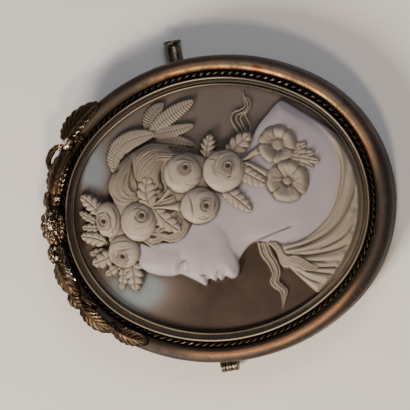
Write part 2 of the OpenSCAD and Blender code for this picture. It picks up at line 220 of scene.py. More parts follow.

# %% [markdown]
# ## Helpers for the meshes
#
# A piece is worked out in millimetres in the brooch's own place and then put on the row with one
# function, so that its object stays at the origin. A second function says which body the piece
# rides on and which solid it stands for.


# %% Turn points and faces into a piece
def make_piece(name, points, faces, material):
    """A mesh object from places in brooch millimetres."""
    mesh = bpy.data.meshes.new(name)
    place = np.array(points, float) + (SHIFT_X, 0, 0)
    mesh.from_pydata((place * MM).tolist(), [], faces)
    mesh.materials.append(material)
    mesh.shade_smooth()
    return add_object(name, mesh)


def grid_faces(grid):
    """The faces between neighbours in a grid of point numbers, and the numbers round its edge."""
    faces = np.stack([grid[:-1, :-1], grid[:-1, 1:], grid[1:, 1:], grid[1:, :-1]], -1)
    border = np.concatenate([grid[0, :-1], grid[:-1, -1], grid[-1, :0:-1], grid[:0:-1, 0]])
    return faces.reshape(-1, 4), border


def ring_faces(slots):
    """The faces of a closed section that is swept round a closed path."""
    ahead = np.roll(slots, -1, axis=0)
    beside = np.roll(slots, -1, axis=1)
    both = np.roll(ahead, -1, axis=1)
    return np.stack([slots, beside, both, ahead], -1).reshape(-1, 4)


def face_outwards(piece):
    """Turns every face of a closed piece outwards."""
    bm = bmesh.new()
    bm.from_mesh(piece.data)
    bmesh.ops.recalc_face_normals(bm, faces=bm.faces)
    bm.to_mesh(piece.data)
    bm.free()


def sharpen(piece, degrees):
    """Keeps the corners above an angle sharp and the rest smooth."""
    piece.data.set_sharp_from_angle(angle=math.radians(degrees))


def store(piece, name, values):
    """Keeps a number for every point of the piece, which its material reads."""
    attribute = piece.data.attributes.new(name, "FLOAT", "POINT")
    attribute.data.foreach_set("value", np.asarray(values, np.float32))


def hand_over(piece, slot, *solids):
    """The finished piece rides on the brooch and stands for its solids."""
    triangles = sum(len(p.vertices) - 2 for p in piece.data.polygons)
    print(piece.name, "has", triangles, "triangles")
    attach(piece, "root")
    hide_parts(*solids)


def places(piece):
    """The points of a piece in brooch millimetres."""
    flat = np.zeros(len(piece.data.vertices) * 3)
    piece.data.vertices.foreach_get("co", flat)
    return flat.reshape(-1, 3) / MM - (SHIFT_X, 0, 0)

# %% [markdown]
# ## Finishes of the metal
#
# The frame is brass that was gilded by fire and has been worn and handled for a long time. Where
# the gold is thin the copper in the brass shows pink, and old tarnish lies brown and a little green
# in the channel and beside the ridges. The metal is also browner towards the foot and the top. The
# ridges and the crest of the moulding are rubbed bright, and in a few places along them highlights
# are painted on. Painted shade darkens the inner slope on the left, the outer slope past the crest
# and the collar towards the right.
# Each point of the frame knows how far it is outside the opening, so the finish can tell the collar,
# the channel and the moulding apart. Patches are 3 to 7 mm across, and the finest specks are
# drawn 0.6 mm apart, a little coarser than the real ones, so that they show.
#
# The scale of a noise says how many of its waves fit in a metre, so 1000 / 7 makes them 7 mm long.

# %% Settings that many nodes share
SMOOTH = {"interpolation_type": "SMOOTHSTEP"}
COLOUR = {"data_type": "RGBA"}
MULTIPLY, MULTIPLY_ADD, ADD, SUBTRACT, MAXIMUM, ABSOLUTE, SINE, COSINE = (
    {"operation": name} for name in ("MULTIPLY", "MULTIPLY_ADD", "ADD", "SUBTRACT", "MAXIMUM",
                                     "ABSOLUTE", "SINE", "COSINE"))

# %% Gilt brass: gold, copper pink and brown patches
gilt, tree, shader = new_material("gilt_brass_worn")
place = node(tree, "TexCoord").outputs["Object"]
out = node(tree, "Attribute", {"attribute_name": "out"})
where = node(tree, "SeparateXYZ", Vector=place).outputs
patches = node(tree, "TexNoise", Vector=place, Scale=1000 / 7.0, Detail=4.0, Roughness=0.62)
blotches = node(tree, "TexNoise", {"noise_dimensions": "4D"}, Vector=place, W=3.0, Scale=1000 / 3.0,
                Detail=6.0, Roughness=0.7)
pink_patch = node(tree, "MapRange", SMOOTH, Value=patches, From_Min=0.46, From_Max=0.66)
brown_patch = node(tree, "MapRange", SMOOTH, Value=blotches, From_Min=0.46, From_Max=0.66,
                   To_Max=0.85)
gold_tone = node(tree, "Mix", COLOUR, i0=pink_patch, i6=linear("#9A7850"), i7=linear("#9E6C4C"))
moulding_tone = node(tree, "Mix", COLOUR, i0=brown_patch, i6=gold_tone, i7=linear("#3E2A1E"))

# %% Browner towards the foot and the top, and painted shade on the left inner slope
# the foot and the upper left are brown, with some green
footwards = node(tree, "VectorMath", {"operation": "DOT_PRODUCT"}, i0=place, i1=(-0.33, -0.94, 0))
towards_foot = node(tree, "MapRange", SMOOTH, Value=footwards, From_Min=22.5 * MM,
                    From_Max=26.5 * MM)
towards_top = node(tree, "MapRange", SMOOTH, Value=where["Y"], From_Min=3 * MM, From_Max=12 * MM,
                   To_Max=0.95)
on_collar = node(tree, "MapRange", SMOOTH, Value=out, From_Min=COLLAR_W + 0.06,
                 From_Max=COLLAR_W - 0.06)
off_collar = node(tree, "Math", SUBTRACT, i0=1.0, i1=on_collar)
# on the left side the worn crest is copper pink, and the inner slope is painted as dark as the channel:
# painted shade
towards_left = node(tree, "MapRange", SMOOTH, Value=where["X"], From_Min=2 * MM, From_Max=-8 * MM,
                    To_Max=0.92)
slope_side = node(tree, "Math", MULTIPLY, i0=towards_left, i1=off_collar)
foot_and_top = node(tree, "Math", MAXIMUM, i0=towards_foot, i1=towards_top)
inner_slope = node(tree, "MapRange", SMOOTH, Value=out, From_Min=TOP_U - 0.1, From_Max=TOP_U - 0.45)
painted_slope_shade = node(tree, "Math", MULTIPLY, i0=towards_left, i1=inner_slope)
browned_and_shaded = node(tree, "Math", MAXIMUM, i0=foot_and_top, i1=painted_slope_shade)
dark_tone = node(tree, "Mix", COLOUR, i0=patches, i6=linear("#241A12"), i7=linear("#343020"))
darkened_tone = node(tree, "Mix", COLOUR, i0=browned_and_shaded, i6=moulding_tone, i7=dark_tone)
# the outer side, past the crest, is painted nearly black as a painted dark reflection
past_crest = node(tree, "MapRange", SMOOTH, Value=out, From_Min=TOP_U, From_Max=TOP_U + 0.65,
                  To_Max=0.92)
outer_tone = node(tree, "Mix", COLOUR, i0=past_crest, i6=darkened_tone, i7=linear("#20160F"))

# %% Collar and channel
# the collar is painted darker towards the right, which is painted shade, with brown patches over it
towards_right = node(tree, "MapRange", Value=where["X"], From_Min=-16 * MM, From_Max=12 * MM)
collar_shade_and_patches = node(tree, "Math", {"operation": "MULTIPLY_ADD", "use_clamp": True}, i0=brown_patch,
                    i1=0.4, i2=towards_right)
collar_tone = node(tree, "Mix", COLOUR, i0=collar_shade_and_patches, i6=linear("#5A5140"), i7=linear("#2A2319"))
body_tone = node(tree, "Mix", COLOUR, i0=on_collar, i6=outer_tone, i7=collar_tone)
from_channel = node(tree, "Math", SUBTRACT, i0=out, i1=COLLAR_W + ROPE_W / 2)
channel_gap = node(tree, "Math", ABSOLUTE, i0=from_channel)
in_channel = node(tree, "MapRange", SMOOTH, Value=channel_gap, From_Min=0.66, From_Max=0.44)
verdigris = node(tree, "Mix", COLOUR, i0=pink_patch, i6=linear("#343A2C"), i7=linear("#2E2318"))
channel_share = node(tree, "Math", MULTIPLY, i0=in_channel, i1=0.85)
frame_tone = node(tree, "Mix", COLOUR, i0=channel_share, i6=body_tone, i7=verdigris)

# %% Ridges worn bright with painted highlights, and specks
wear_and_highlight_in = node(tree, "Attribute", {"attribute_name": "wear_and_highlight"})
clear_share = node(tree, "Math", MULTIPLY_ADD, i0=browned_and_shaded, i1=-0.9, i2=1.0)
kept = node(tree, "Math", MAXIMUM, i0=clear_share, i1=on_collar)
wear_and_highlight = node(tree, "Math", MULTIPLY, i0=wear_and_highlight_in, i1=kept)
wear_and_highlight_tone = node(tree, "Mix", COLOUR, i0=slope_side, i6=linear("#C9B594"), i7=linear("#C08A68"))
scratches = node(tree, "TexNoise", Vector=place, Scale=1000 / 0.6, Detail=3.0, Roughness=0.6)
speckled = node(tree, "MapRange", SMOOTH, Value=scratches, From_Min=0.5, From_Max=0.7, To_Max=0.6)
mottled_tone = node(tree, "Mix", COLOUR, i0=speckled, i6=frame_tone, i7=linear("#4A3020"))
finish_tone = node(tree, "Mix", COLOUR, i0=wear_and_highlight, i6=mottled_tone, i7=wear_and_highlight_tone)
worn_rough = node(tree, "MapRange", Value=blotches, From_Min=0.3, From_Max=0.7, To_Min=0.40,
                  To_Max=0.58)
dulled = node(tree, "Math", MULTIPLY_ADD, i0=browned_and_shaded, i1=0.15, i2=worn_rough)
pitting = node(tree, "Bump", Strength=0.35, Distance=0.1 * MM, Height=blotches)
relief_bump = node(tree, "Bump", Strength=0.5, Distance=0.08 * MM, Height=scratches, Normal=pitting)

# %% A nick at the lower right and a reddish graze on the right
nick_gap = node(tree, "VectorMath", {"operation": "DISTANCE"}, i0=place,
                i1=Vector((13.2, -24.2, 6.4)) * MM)
nick = node(tree, "MapRange", SMOOTH, Value=nick_gap, From_Min=0.9 * MM, From_Max=0.4 * MM)
nicked = node(tree, "Mix", COLOUR, i0=nick, i6=finish_tone, i7=linear("#2A1810"))
graze_gap = node(tree, "VectorMath", {"operation": "DISTANCE"}, i0=place,
                 i1=Vector((21.1, -10.2, 6.8)) * MM)
graze = node(tree, "MapRange", SMOOTH, Value=graze_gap, From_Min=1.3 * MM, From_Max=0.5 * MM,
             To_Max=0.7)
marked = node(tree, "Mix", COLOUR, i0=graze, i6=nicked, i7=linear("#6E2E20"))

# %% Tarnish is no metal, so the metal shows less where it is thick, and where shade is painted
tarnish_and_shade = node(tree, "Math", MAXIMUM, i0=browned_and_shaded, i1=channel_share)
shade_and_dark_outer = node(tree, "Math", MAXIMUM, i0=tarnish_and_shade, i1=past_crest)
collar_film = node(tree, "Math", MULTIPLY, i0=on_collar, i1=0.8)
film_and_shade = node(tree, "Math", MAXIMUM, i0=shade_and_dark_outer, i1=collar_film)
clear_of_film_and_shade = node(tree, "Math", MULTIPLY_ADD, i0=film_and_shade, i1=-0.8, i2=1.0)
shown = node(tree, "Math", MAXIMUM, i0=clear_of_film_and_shade, i1=wear_and_highlight)
plug(shader, Base_Color=marked, Roughness=dulled, Metallic=shown, Normal=relief_bump)

# %% [markdown]
# The other metals are plainer. The rope is drawn gilt wire with dark tarnish between its turns, the
# garland is cast and was gilded thinly, so it is copper brown with bright worn high places, and the
# pin and knob are grey white metal. The rope and the garland know how high each point stands, and
# their finish is dark where it is low and bright where it is high. The bright tops of the rope are
# partly a painted highlight, and so is one side of each garland leaf; the rope beside the garland
# is painted dark as painted shade.

# %% Metals that are dark in the low places and bright in the high ones
def worn_metal(name, low, middle, high, rough_low, rough_high, grain_mm, bump_mm):
    """A metal with tarnish in its low places, by the attribute called high."""
    material, tree, shader = new_material(name)
    place = node(tree, "TexCoord").outputs["Object"]
    height = node(tree, "Attribute", {"attribute_name": "high"})
    grain = node(tree, "TexNoise", Vector=place, Scale=1000 / grain_mm, Detail=5.0, Roughness=0.65)
    shifted = node(tree, "Math", MULTIPLY_ADD, i0=grain, i1=0.7, i2=-0.35)
    level = node(tree, "Math", ADD, i0=height, i1=shifted)
    up_to_middle = node(tree, "MapRange", SMOOTH, Value=level, From_Min=0.05, From_Max=0.5)
    up_to_high = node(tree, "MapRange", SMOOTH, Value=level, From_Min=0.62, From_Max=1.05)
    dark = node(tree, "Mix", COLOUR, i0=up_to_middle, i6=linear(low), i7=linear(middle))
    tone = node(tree, "Mix", COLOUR, i0=up_to_high, i6=dark, i7=linear(high))
    rough = node(tree, "MapRange", Value=level, To_Min=rough_low, To_Max=rough_high)
    bump = node(tree, "Bump", Strength=0.5, Distance=bump_mm * MM, Height=grain)
    plug(shader, Base_Color=tone, Roughness=rough, Metallic=1.0, Normal=bump)
    return material


rope_metal = worn_metal("gilt_wire_drawn", "#120F0A", "#3C3322", "#CCC09E", 0.6, 0.34, 0.6, 0.02)
garland_metal = worn_metal("gilt_brass_cast", "#140E0A", "#564634", "#F0DCBE", 0.55, 0.24, 0.8, 0.03)
pin_metal = worn_metal("white_metal_turned", "#1E1A16", "#55503F", "#B8AE98", 0.45, 0.3, 0.9, 0.03)

# %% [markdown]
# ## Finish of the shell
#
# Helmet shell is a natural mineral in thin crossed layers, polished to a soft gloss. Light enters it
# and comes out again nearby, so its edges glow a little, which the subsurface setting gives. Six
# numbers are kept at each point: how much of the pale layer is left there, how cream it is, how
# much brown dirt and painted shade lies in the cuts, how much painted reflection, a pale blue grey,
# lies on the ground, the number of the lock of hair, and whether there is hair at all.

# %% Carved helmet shell: the brown ground and the painted reflection on it
shell, tree, shader = new_material("helmet_shell_carved")
place = node(tree, "TexCoord").outputs["Object"]
layer, cream_share, grime_and_shade, painted_sheen, lock, on_hair = (
    node(tree, "Attribute", {"attribute_name": name}).outputs["Fac"]
    for name in ("layer", "cream", "grime_and_shade", "painted_sheen", "strand", "hairy"))
drift = node(tree, "TexNoise", Vector=place, Scale=1000 / 9.0, Detail=3.0, Roughness=0.55)
drift_share = node(tree, "MapRange", SMOOTH, Value=drift, From_Min=0.35, From_Max=0.7)
ground_tone = node(tree, "Mix", COLOUR, i0=drift_share, i6=linear("#31241B"), i7=linear("#45362D"))
# pale blue grey patches of painted reflection over the brown ground
thick_sheen = node(tree, "MapRange", SMOOTH, Value=painted_sheen, From_Min=0.45, From_Max=1.05)
sheen_tone = node(tree, "Mix", COLOUR, i0=thick_sheen, i6=linear("#776A60"), i7=linear("#788082"))
sheened_ground = node(tree, "Mix", COLOUR, i0=painted_sheen, i6=ground_tone, i7=sheen_tone)

# %% The pale layer, from white skin over petals to cream leaves and hair, and the dirt and painted shade on it
petal_share = node(tree, "MapRange", Value=cream_share, From_Max=0.5)
leaf_share = node(tree, "MapRange", Value=cream_share, From_Min=0.5)
petal_tone = node(tree, "Mix", COLOUR, i0=petal_share, i6=linear("#A0979A"), i7=linear("#A29686"))
pale = node(tree, "Mix", COLOUR, i0=leaf_share, i6=petal_tone, i7=linear("#978B7A"))
layered = node(tree, "Mix", COLOUR, i0=layer, i6=sheened_ground, i7=pale)
dirt_and_shade_tone = node(tree, "Mix", COLOUR, i0=grime_and_shade, i6=layered, i7=linear("#3C2C1E"))

# %% Two fine hairs to a lock, drawn from the number of the lock that each point keeps
waver = node(tree, "TexNoise", Vector=place, Scale=1000 / 1.6, Detail=2.0)
hair_turn = node(tree, "Math", MULTIPLY, i0=lock, i1=4 * math.pi)
hair_phase = node(tree, "Math", MULTIPLY_ADD, i0=waver, i1=4.0, i2=hair_turn)
hair_wave = node(tree, "Math", SINE, i0=hair_phase)
# the grooves between the fine hairs are painted dark brown, as dirt and painted shade
hair_line = node(tree, "MapRange", SMOOTH, Value=hair_wave, From_Min=0.1, From_Max=-0.9,
                 To_Max=0.45)
hair_share = node(tree, "Math", MULTIPLY, i0=hair_line, i1=on_hair)
combed = node(tree, "Mix", COLOUR, i0=hair_share, i6=dirt_and_shade_tone, i7=linear("#5C4636"))

# %% Growth lines, the height of the hairs, and the polish
growth = node(tree, "TexNoise", Vector=place, Scale=1000 / 0.5, Detail=2.0)
growth_bump = node(tree, "Bump", Strength=0.12, Distance=0.03 * MM, Height=growth)
hair_height = node(tree, "Math", MULTIPLY, i0=hair_wave, i1=on_hair)
hair_bump = node(tree, "Bump", Strength=0.7, Distance=0.04 * MM, Height=hair_height,
                 Normal=growth_bump)
plug(shader, Base_Color=combed, Normal=hair_bump, Roughness=0.45, Specular_IOR_Level=0.2, IOR=1.53,
     Subsurface_Weight=0.2, Subsurface_Radius=(1.0, 0.75, 0.6), Subsurface_Scale=0.15 * MM)

# %% [markdown]
# ## A drawing of heights
#
# A carver cuts the pale layer away round the figures until the brown one shows, then rounds each
# form and lines it with small gravers. The same order suits a drawing of heights: an array of cells
# over the shell, 0.08 mm apart, with a height in each. Every form is laid over what is there, so
# the one laid last is in front, and a cut takes height away. A sculpted mesh could look as good,
# but here each form stays a few numbers that can be read and changed.
#
# Beside its height each cell keeps how much of the pale layer is left, how cream that is, how much
# brown is painted there as dirt and shade and, for hair, which lock it belongs to. X goes across the
# brooch and Y up it, in millimetres. Places are given as the leaning camera sees them, so the high
# forms are drawn a little further up than they really stand, and the drawing as a whole is moved
# down for it.

# %% An empty drawing
CELL = 0.08
RIM_Z = 5.64
GROUND_RISE = 1.9
GIRDLE_A = 25.3
GIRDLE_B = 21.3
DRAWN_UP = 0.35
across = np.arange(-GIRDLE_B - 0.4, GIRDLE_B + 0.4, CELL)
upward = np.arange(-GIRDLE_A - 0.4, GIRDLE_A + 0.4, CELL)
X, Y = np.meshgrid(across, upward + DRAWN_UP)
relief = np.zeros_like(X)
white = np.zeros_like(X)
cream = np.zeros_like(X)
dirt_and_shade = np.zeros_like(X)
strand = np.zeros_like(X)
hairy = np.zeros_like(X)
chance = np.random.default_rng(7)
print("a drawing of", relief.shape, "cells")

# %% Small tools of the drawing
def window(low, high):
    """The part of the drawing between two corners."""
    i = np.clip(((np.array([low[0], high[0]]) - across[0]) / CELL).astype(int), 0, len(across))
    j = np.array([low[1], high[1]]) - DRAWN_UP - upward[0]
    j = np.clip((j / CELL).astype(int), 0, len(upward))
    return np.s_[j[0]:j[1] + 2, i[0]:i[1] + 2]


def blur(field, reach):
    """A field softened over a distance in mm."""
    cells = reach / CELL
    size = int(3 * cells) + 1
    line = np.exp(-0.5 * (np.arange(-size, size + 1) / cells) ** 2)
    line = line / line.sum()
    for axis in (0, 1):
        pad = [(size, size) if a == axis else (0, 0) for a in (0, 1)]
        wide = np.pad(field, pad, mode="edge")
        count = field.shape[axis]
        cut = [np.take(wide, range(k, k + count), axis=axis) for k in range(len(line))]
        field = sum(weight * piece for weight, piece in zip(line, cut))
    return field


def rise(value, low, high):
    """0 below low, 1 above high, and a smooth step between."""
    t = np.clip((value - low) / (high - low), 0, 1)
    return t * t * (3 - 2 * t)


def unit(value):
    """A value kept between 0 and 1."""
    return np.clip(value, 0, 1)


def bell(value, width, power=2):
    """1 in the middle, with a soft fall to both sides over a width."""
    return np.exp(-(value / width) ** power)


def mound(x, y, wide, tall):
    """A bell in two directions."""
    return np.exp(-(x / wide) ** 2 - (y / tall) ** 2)


def dome(value):
    """1 in the middle and 0 at a distance of 1, round like a ball."""
    return np.sqrt(unit(1 - value * value))


def flow(points, count=28):
    """A smooth line through a few points."""
    p = np.array(points, float)
    ends = np.vstack([2 * p[0] - p[1], p, 2 * p[-1] - p[-2]])
    t = np.linspace(0, len(p) - 1, count)
    i = np.minimum(t.astype(int), len(p) - 2)
    f = (t - i)[:, None]
    a, b, c, d = (ends[i + k] for k in range(4))
    return 0.5 * (2 * b + (c - a) * f + (2 * a - 5 * b + 4 * c - d) * f ** 2
                  + (3 * b - a - 3 * c + d) * f ** 3)

# %% Distances from a line and from an outline
def near(line, reach):
    """The window round a line, with each place's distance, share along and side."""
    w = window(line.min(0) - reach, line.max(0) + reach)
    x, y = X[w], Y[w]
    best = np.full(x.shape, 1e9)
    share = np.zeros(x.shape)
    side = np.zeros(x.shape)
    run = np.concatenate([[0], np.cumsum(np.linalg.norm(np.diff(line, axis=0), axis=1))])
    run = run / run[-1]
    for k in range(len(line) - 1):
        ax, ay = line[k]
        dx, dy = line[k + 1] - line[k]
        size = dx * dx + dy * dy + 1e-12
        t = unit(((x - ax) * dx + (y - ay) * dy) / size)
        ex, ey = x - ax - t * dx, y - ay - t * dy
        d = np.hypot(ex, ey)
        closer = d < best
        best = np.where(closer, d, best)
        share = np.where(closer, run[k] + t * (run[k + 1] - run[k]), share)
        side = np.where(closer, np.sign(dx * ey - dy * ex), side)
    return w, best, share, side


def outline_field(points):
    """Signed distance from a closed outline, more than 0 inside it."""
    p = np.array(points, float)
    inside = np.zeros(X.shape, bool)
    best = np.full(X.shape, 1e9)
    for a, b in zip(p, np.roll(p, -1, axis=0)):
        dx, dy = b - a
        t = unit(((X - a[0]) * dx + (Y - a[1]) * dy) / (dx * dx + dy * dy))
        best = np.minimum(best, np.hypot(X - a[0] - t * dx, Y - a[1] - t * dy))
        if a[1] != b[1]:
            spans = (a[1] > Y) != (b[1] > Y)
            inside ^= spans & (X < a[0] + dx * (Y - a[1]) / dy)
    return np.where(inside, best, -best)

# %% Lay a form, and cut a line
def edge(distance, soft=0.12):
    """1 inside a form and 0 outside it, over a soft edge."""
    return unit(0.5 + distance / soft)


def lay(w, height, mask, whiteness, warmth, groove=0.25, halo=0.16, dark=0.8):
    """Puts a form over what is there, with a cut round its edge."""
    # brown is painted in the groove round the form, as dirt and painted shade
    around = blur(mask, halo) * (1 - mask)
    relief[w] -= groove * around * np.minimum(1, relief[w] / 0.6)
    dirt_and_shade[w] = np.maximum(dirt_and_shade[w], dark * around * (white[w] > 0.5)) * (1 - mask)
    relief[w] = relief[w] * (1 - mask) + height * mask
    white[w] = white[w] * (1 - mask) + whiteness * mask
    cream[w] = cream[w] * (1 - mask) + warmth * mask
    hairy[w] = hairy[w] * (1 - mask)


def darken(w, amount):
    """Paints brown, as dirt and painted shade, where there isn't more of it yet."""
    dirt_and_shade[w] = np.maximum(dirt_and_shade[w], amount)


def cut(points, width, depth, dark):
    """A cut along a line, shallower towards both ends."""
    w, d, share, _ = near(flow(points), 3 * width)
    fade = np.clip(np.minimum(share, 1 - share) / 0.15, 0.25, 1)
    shape = fade * bell(d, width)
    relief[w] -= depth * shape
    darken(w, dark * shape)

# %% [markdown]
# ## Bust and shoulder
#
# The bust is the lowest form, and it carries the rest. It rises steeply from its outline and then
# runs almost flat, as a thin layer must. The muscles of the neck, the shoulder and the chest are
# only a tenth to half a millimetre high, so they are soft swellings added to it.

# %% Outline and height of the bust
BUST = [
    (-10.0, -1.4), (-8.6, -2.5), (-7.3, -3.7), (-6.5, -4.9), (-6.4, -6.2), (-7.2, -7.6),
    (-9.0, -8.8), (-11.2, -10.2), (-13.6, -12.0), (-15.6, -13.6), (-16.3, -14.4),
    (-15.9, -15.6), (-14.4, -17.6), (-12.6, -19.5), (-10.4, -21.3), (-8.0, -22.8),
    (-5.2, -23.9), (-2.0, -24.4), (1.0, -24.5), (3.6, -24.2), (6.4, -23.3), (9.2, -21.5),
    (12.0, -18.5), (14.2, -15.8), (15.9, -13.7), (16.2, -12.9), (15.7, -12.0), (14.0, -10.1),
    (12.6, -8.6), (10.6, -7.0), (8.6, -4.0), (7.0, 2.0), (4.0, 10.0), (-2.0, 10.0), (-5.0, 4.0),
    (-8.0, 1.5)
]
skin = outline_field(flow(BUST + BUST[:1], 150)[:-1])
inward = 1 - unit(skin / 2.4)
bust_height = 1.15 * (0.42 + 0.58 * dome(inward))
everywhere = np.s_[:, :]
lay(everywhere, bust_height, edge(skin), 1.0, 0.0)

# %% Neck, shoulder and chest
def swell_on_skin(points, width, height):
    """A soft form of the body, which leaves the ground alone."""
    w, d, _, _ = near(flow(points), 2.5 * width)
    relief[w] += height * bell(d, width) * rise(skin[w], -0.1, 1.4)


# the neck, the near shoulder, the collar bone and the chest
swell_on_skin([(0.5, 6), (-0.6, -2), (1.4, -9)], 4.2, 0.55)
swell_on_skin([(4, -11), (9.5, -13), (13, -13.2)], 4.0, 0.35)
swell_on_skin([(-3.6, -13.2), (1.0, -15.4), (6.0, -16.8)], 1.5, 0.10)
swell_on_skin([(1, -19.5), (6.5, -19.2)], 2.6, 0.18)
# the far side of the neck falls back behind the line of the throat
throat = flow([(-6.6, -4.6), (-6.2, -5.8), (-5.9, -7.0), (-5.4, -9.0), (-4.9, -11.0), (-4.4, -12.6)])
w, d, share, side = near(throat, 7)
fall = (side < 0) * rise(1 - share, 0.0, 0.6) * rise(d, 0, 0.3) * unit(1 - (d - 2) / 4.5)
relief[w] -= 0.45 * fall * unit(relief[w]) * (share > 0.01)
cut([(-6.25, -5.4), (-5.9, -7.0), (-5.4, -9.0), (-4.9, -11.0), (-4.55, -12.4)], 0.16, 0.30, 0.8)
print("bust up to", round(float(relief.max()), 2), "mm")

# %% [markdown]
# ## Head
#
# The head is an ideal one on the classical rule: hairline to brow, brow to nose and nose to chin
# are equal thirds. Its own measure is used, heads forwards of the forehead and heads down from the
# hairline, so the rule can be read in the numbers and the whole head turns with one angle.

# %% The head's own measure
HEAD = 19.0
TURN = np.radians(10)
HAIRLINE = np.array([-8.7, 14.2])
forward = np.array([-np.cos(TURN), np.sin(TURN)])
down = np.array([-np.sin(TURN), -np.cos(TURN)])


def on_head(f, d):
    """A place on the head, in heads forwards of the forehead and down from the hairline."""
    return HAIRLINE + HEAD * (f * forward + d * down)


def head_line(points):
    return [on_head(f, d) for f, d in points]

# %% Side line of the face
PROFILE = [
    (-0.06, -0.05), (-0.015, 0.02), (0.010, 0.10), (0.020, 0.19), (0.018, 0.26),
    (0.006, 0.305), (0.000, 0.335), (0.012, 0.375), (0.036, 0.43), (0.066, 0.495),
    (0.084, 0.530), (0.092, 0.546), (0.090, 0.562), (0.078, 0.575), (0.056, 0.581), (0.036, 0.588),
    (0.036, 0.605), (0.046, 0.630), (0.050, 0.648), (0.038, 0.663), (0.024, 0.670),
    (0.036, 0.680), (0.042, 0.697), (0.032, 0.718), (0.012, 0.732), (0.010, 0.748),
    (0.022, 0.775), (0.024, 0.805), (0.006, 0.838), (-0.03, 0.857), (-0.09, 0.858),
    (-0.16, 0.842), (-0.26, 0.80), (-0.42, 0.76), (-0.62, 0.55), (-0.62, 0.20), (-0.42, -0.05)
]
face = flow(head_line(PROFILE) + [on_head(-0.06, -0.05)], 150)[:-1]
head = outline_field(face)
F = ((X - HAIRLINE[0]) * forward[0] + (Y - HAIRLINE[1]) * forward[1]) / HEAD
D = ((X - HAIRLINE[0]) * down[0] + (Y - HAIRLINE[1]) * down[1]) / HEAD
inward = 1 - unit(head / 3.4)
head_height = 1.9 * (0.40 + 0.60 * dome(inward))

# %% Rounded forms and ridges of a head
def bump(f, d, wide, tall, height):
    """A round form on the head, with its sizes in heads."""
    return height * mound(F - f, D - d, wide, tall)


def head_ridge(points, width, height, fades_in=True):
    """A soft ridge along a line on the head, which fades out at its end."""
    field = np.zeros_like(X)
    w, d, share, _ = near(flow(head_line(points)), 3 * width * HEAD)
    ends = unit(np.minimum(share + (0 if fades_in else 0.2), 1 - share) / 0.2)
    field[w] = height * ends * bell(d, width * HEAD)
    return field

# %% [markdown]
# Forehead, cheek, socket, nose, lips and chin are round forms added to the head, each with a place,
# two sizes and a height. The eye is a ball between two ridges for its lids. The head then meets the
# neck through a smooth maximum, which keeps the edge of the jaw soft, as there is no cut behind it.

# %% Forms of the face
forms = (
    bump(-0.10, 0.13, 0.10, 0.09, 0.12)
    + bump(-0.20, 0.50, 0.11, 0.10, 0.22)
    + bump(-0.30, 0.68, 0.10, 0.08, 0.10)
    + bump(-0.22, 0.22, 0.05, 0.08, -0.10)
    # the socket, with the brow over it
    + bump(-0.055, 0.372, 0.050, 0.042, -0.34)
    + bump(-0.13, 0.360, 0.050, 0.034, -0.22)
    + head_ridge([(0.004, 0.300), (-0.05, 0.288), (-0.12, 0.290), (-0.20, 0.325)], 0.017, 0.16, False)
    # the nose: its wing, the fold behind it and its bridge
    + bump(0.030, 0.548, 0.026, 0.024, 0.26)
    + bump(0.074, 0.540, 0.024, 0.024, 0.12)
    + head_ridge([(0.010, 0.515), (-0.004, 0.545), (0.006, 0.572)], 0.008, -0.22)
    + bump(0.052, 0.577, 0.014, 0.007, -0.25)
    + bump(-0.028, 0.60, 0.03, 0.03, -0.07)
    # the lips
    + bump(0.022, 0.645, 0.030, 0.016, 0.12)
    + bump(0.016, 0.698, 0.030, 0.017, 0.14)
    + head_ridge([(0.030, 0.669), (0.000, 0.668), (-0.026, 0.673), (-0.050, 0.678)], 0.0065, -0.24, False)
    + bump(-0.056, 0.679, 0.014, 0.018, -0.12)
    + bump(-0.008, 0.738, 0.030, 0.014, -0.10)
    # the chin and the edge of the jaw
    + bump(-0.010, 0.800, 0.036, 0.034, 0.14)
    + head_ridge([(-0.06, 0.850), (-0.16, 0.828), (-0.28, 0.775), (-0.40, 0.70)], 0.018, 0.10)
)
# the eye looks straight ahead: a ball between two lids that meet at the back
eye_f, eye_d = -0.062, 0.375
ball = dome(np.hypot((F - eye_f + 0.012) / 0.044, (D - eye_d) / 0.027))
forms = forms + 0.26 * ball * (F < -0.028)
forms = forms + head_ridge([(-0.026, 0.356), (-0.048, 0.347), (-0.086, 0.356), (-0.132, 0.388)],
                           0.0085, 0.22)
forms = forms + head_ridge([(-0.034, 0.394), (-0.060, 0.401), (-0.092, 0.398), (-0.130, 0.390)],
                           0.0060, 0.12)
forms = forms + head_ridge([(-0.022, 0.333), (-0.052, 0.326), (-0.092, 0.330), (-0.140, 0.366)],
                           0.0070, -0.10)
head_height = head_height + forms * rise(head, 0.0, 1.1)

# %% Lay the head over the neck
# the head stands a little over the neck, and runs softly into it behind the jaw
over_neck = relief + 0.16 * (skin > 0)
apart = head_height - over_neck
head_height = 0.5 * (head_height + over_neck + np.sqrt(apart ** 2 + 0.04))
on_face = edge(head, 0.12 + 3.0 * rise(-F, 0.10, 0.40) * (skin > 0))
lay(everywhere, head_height, on_face, 1.0, 0.0, groove=0.0, dark=0.0)

# %% Fine shade in the creases
def shade_line(points, width, dark):
    """A little brown in a crease of the face."""
    w, d, share, _ = near(flow(head_line(points)), 3 * width * HEAD)
    ends = unit(np.minimum(share, 1 - share) / 0.25)
    darken(w, dark * ends * bell(d, width * HEAD))


shade_line([(-0.028, 0.350), (-0.050, 0.341), (-0.090, 0.350), (-0.138, 0.388)], 0.006, 0.42)
shade_line([(-0.034, 0.400), (-0.060, 0.409), (-0.094, 0.404), (-0.124, 0.388)], 0.005, 0.25)
shade_line([(0.036, 0.669), (0.000, 0.668), (-0.026, 0.673), (-0.052, 0.679)], 0.006, 0.45)
shade_line([(0.062, 0.576), (0.046, 0.579), (0.034, 0.576)], 0.007, 0.5)
shade_line([(0.004, 0.528), (-0.006, 0.550), (0.004, 0.572)], 0.006, 0.25)
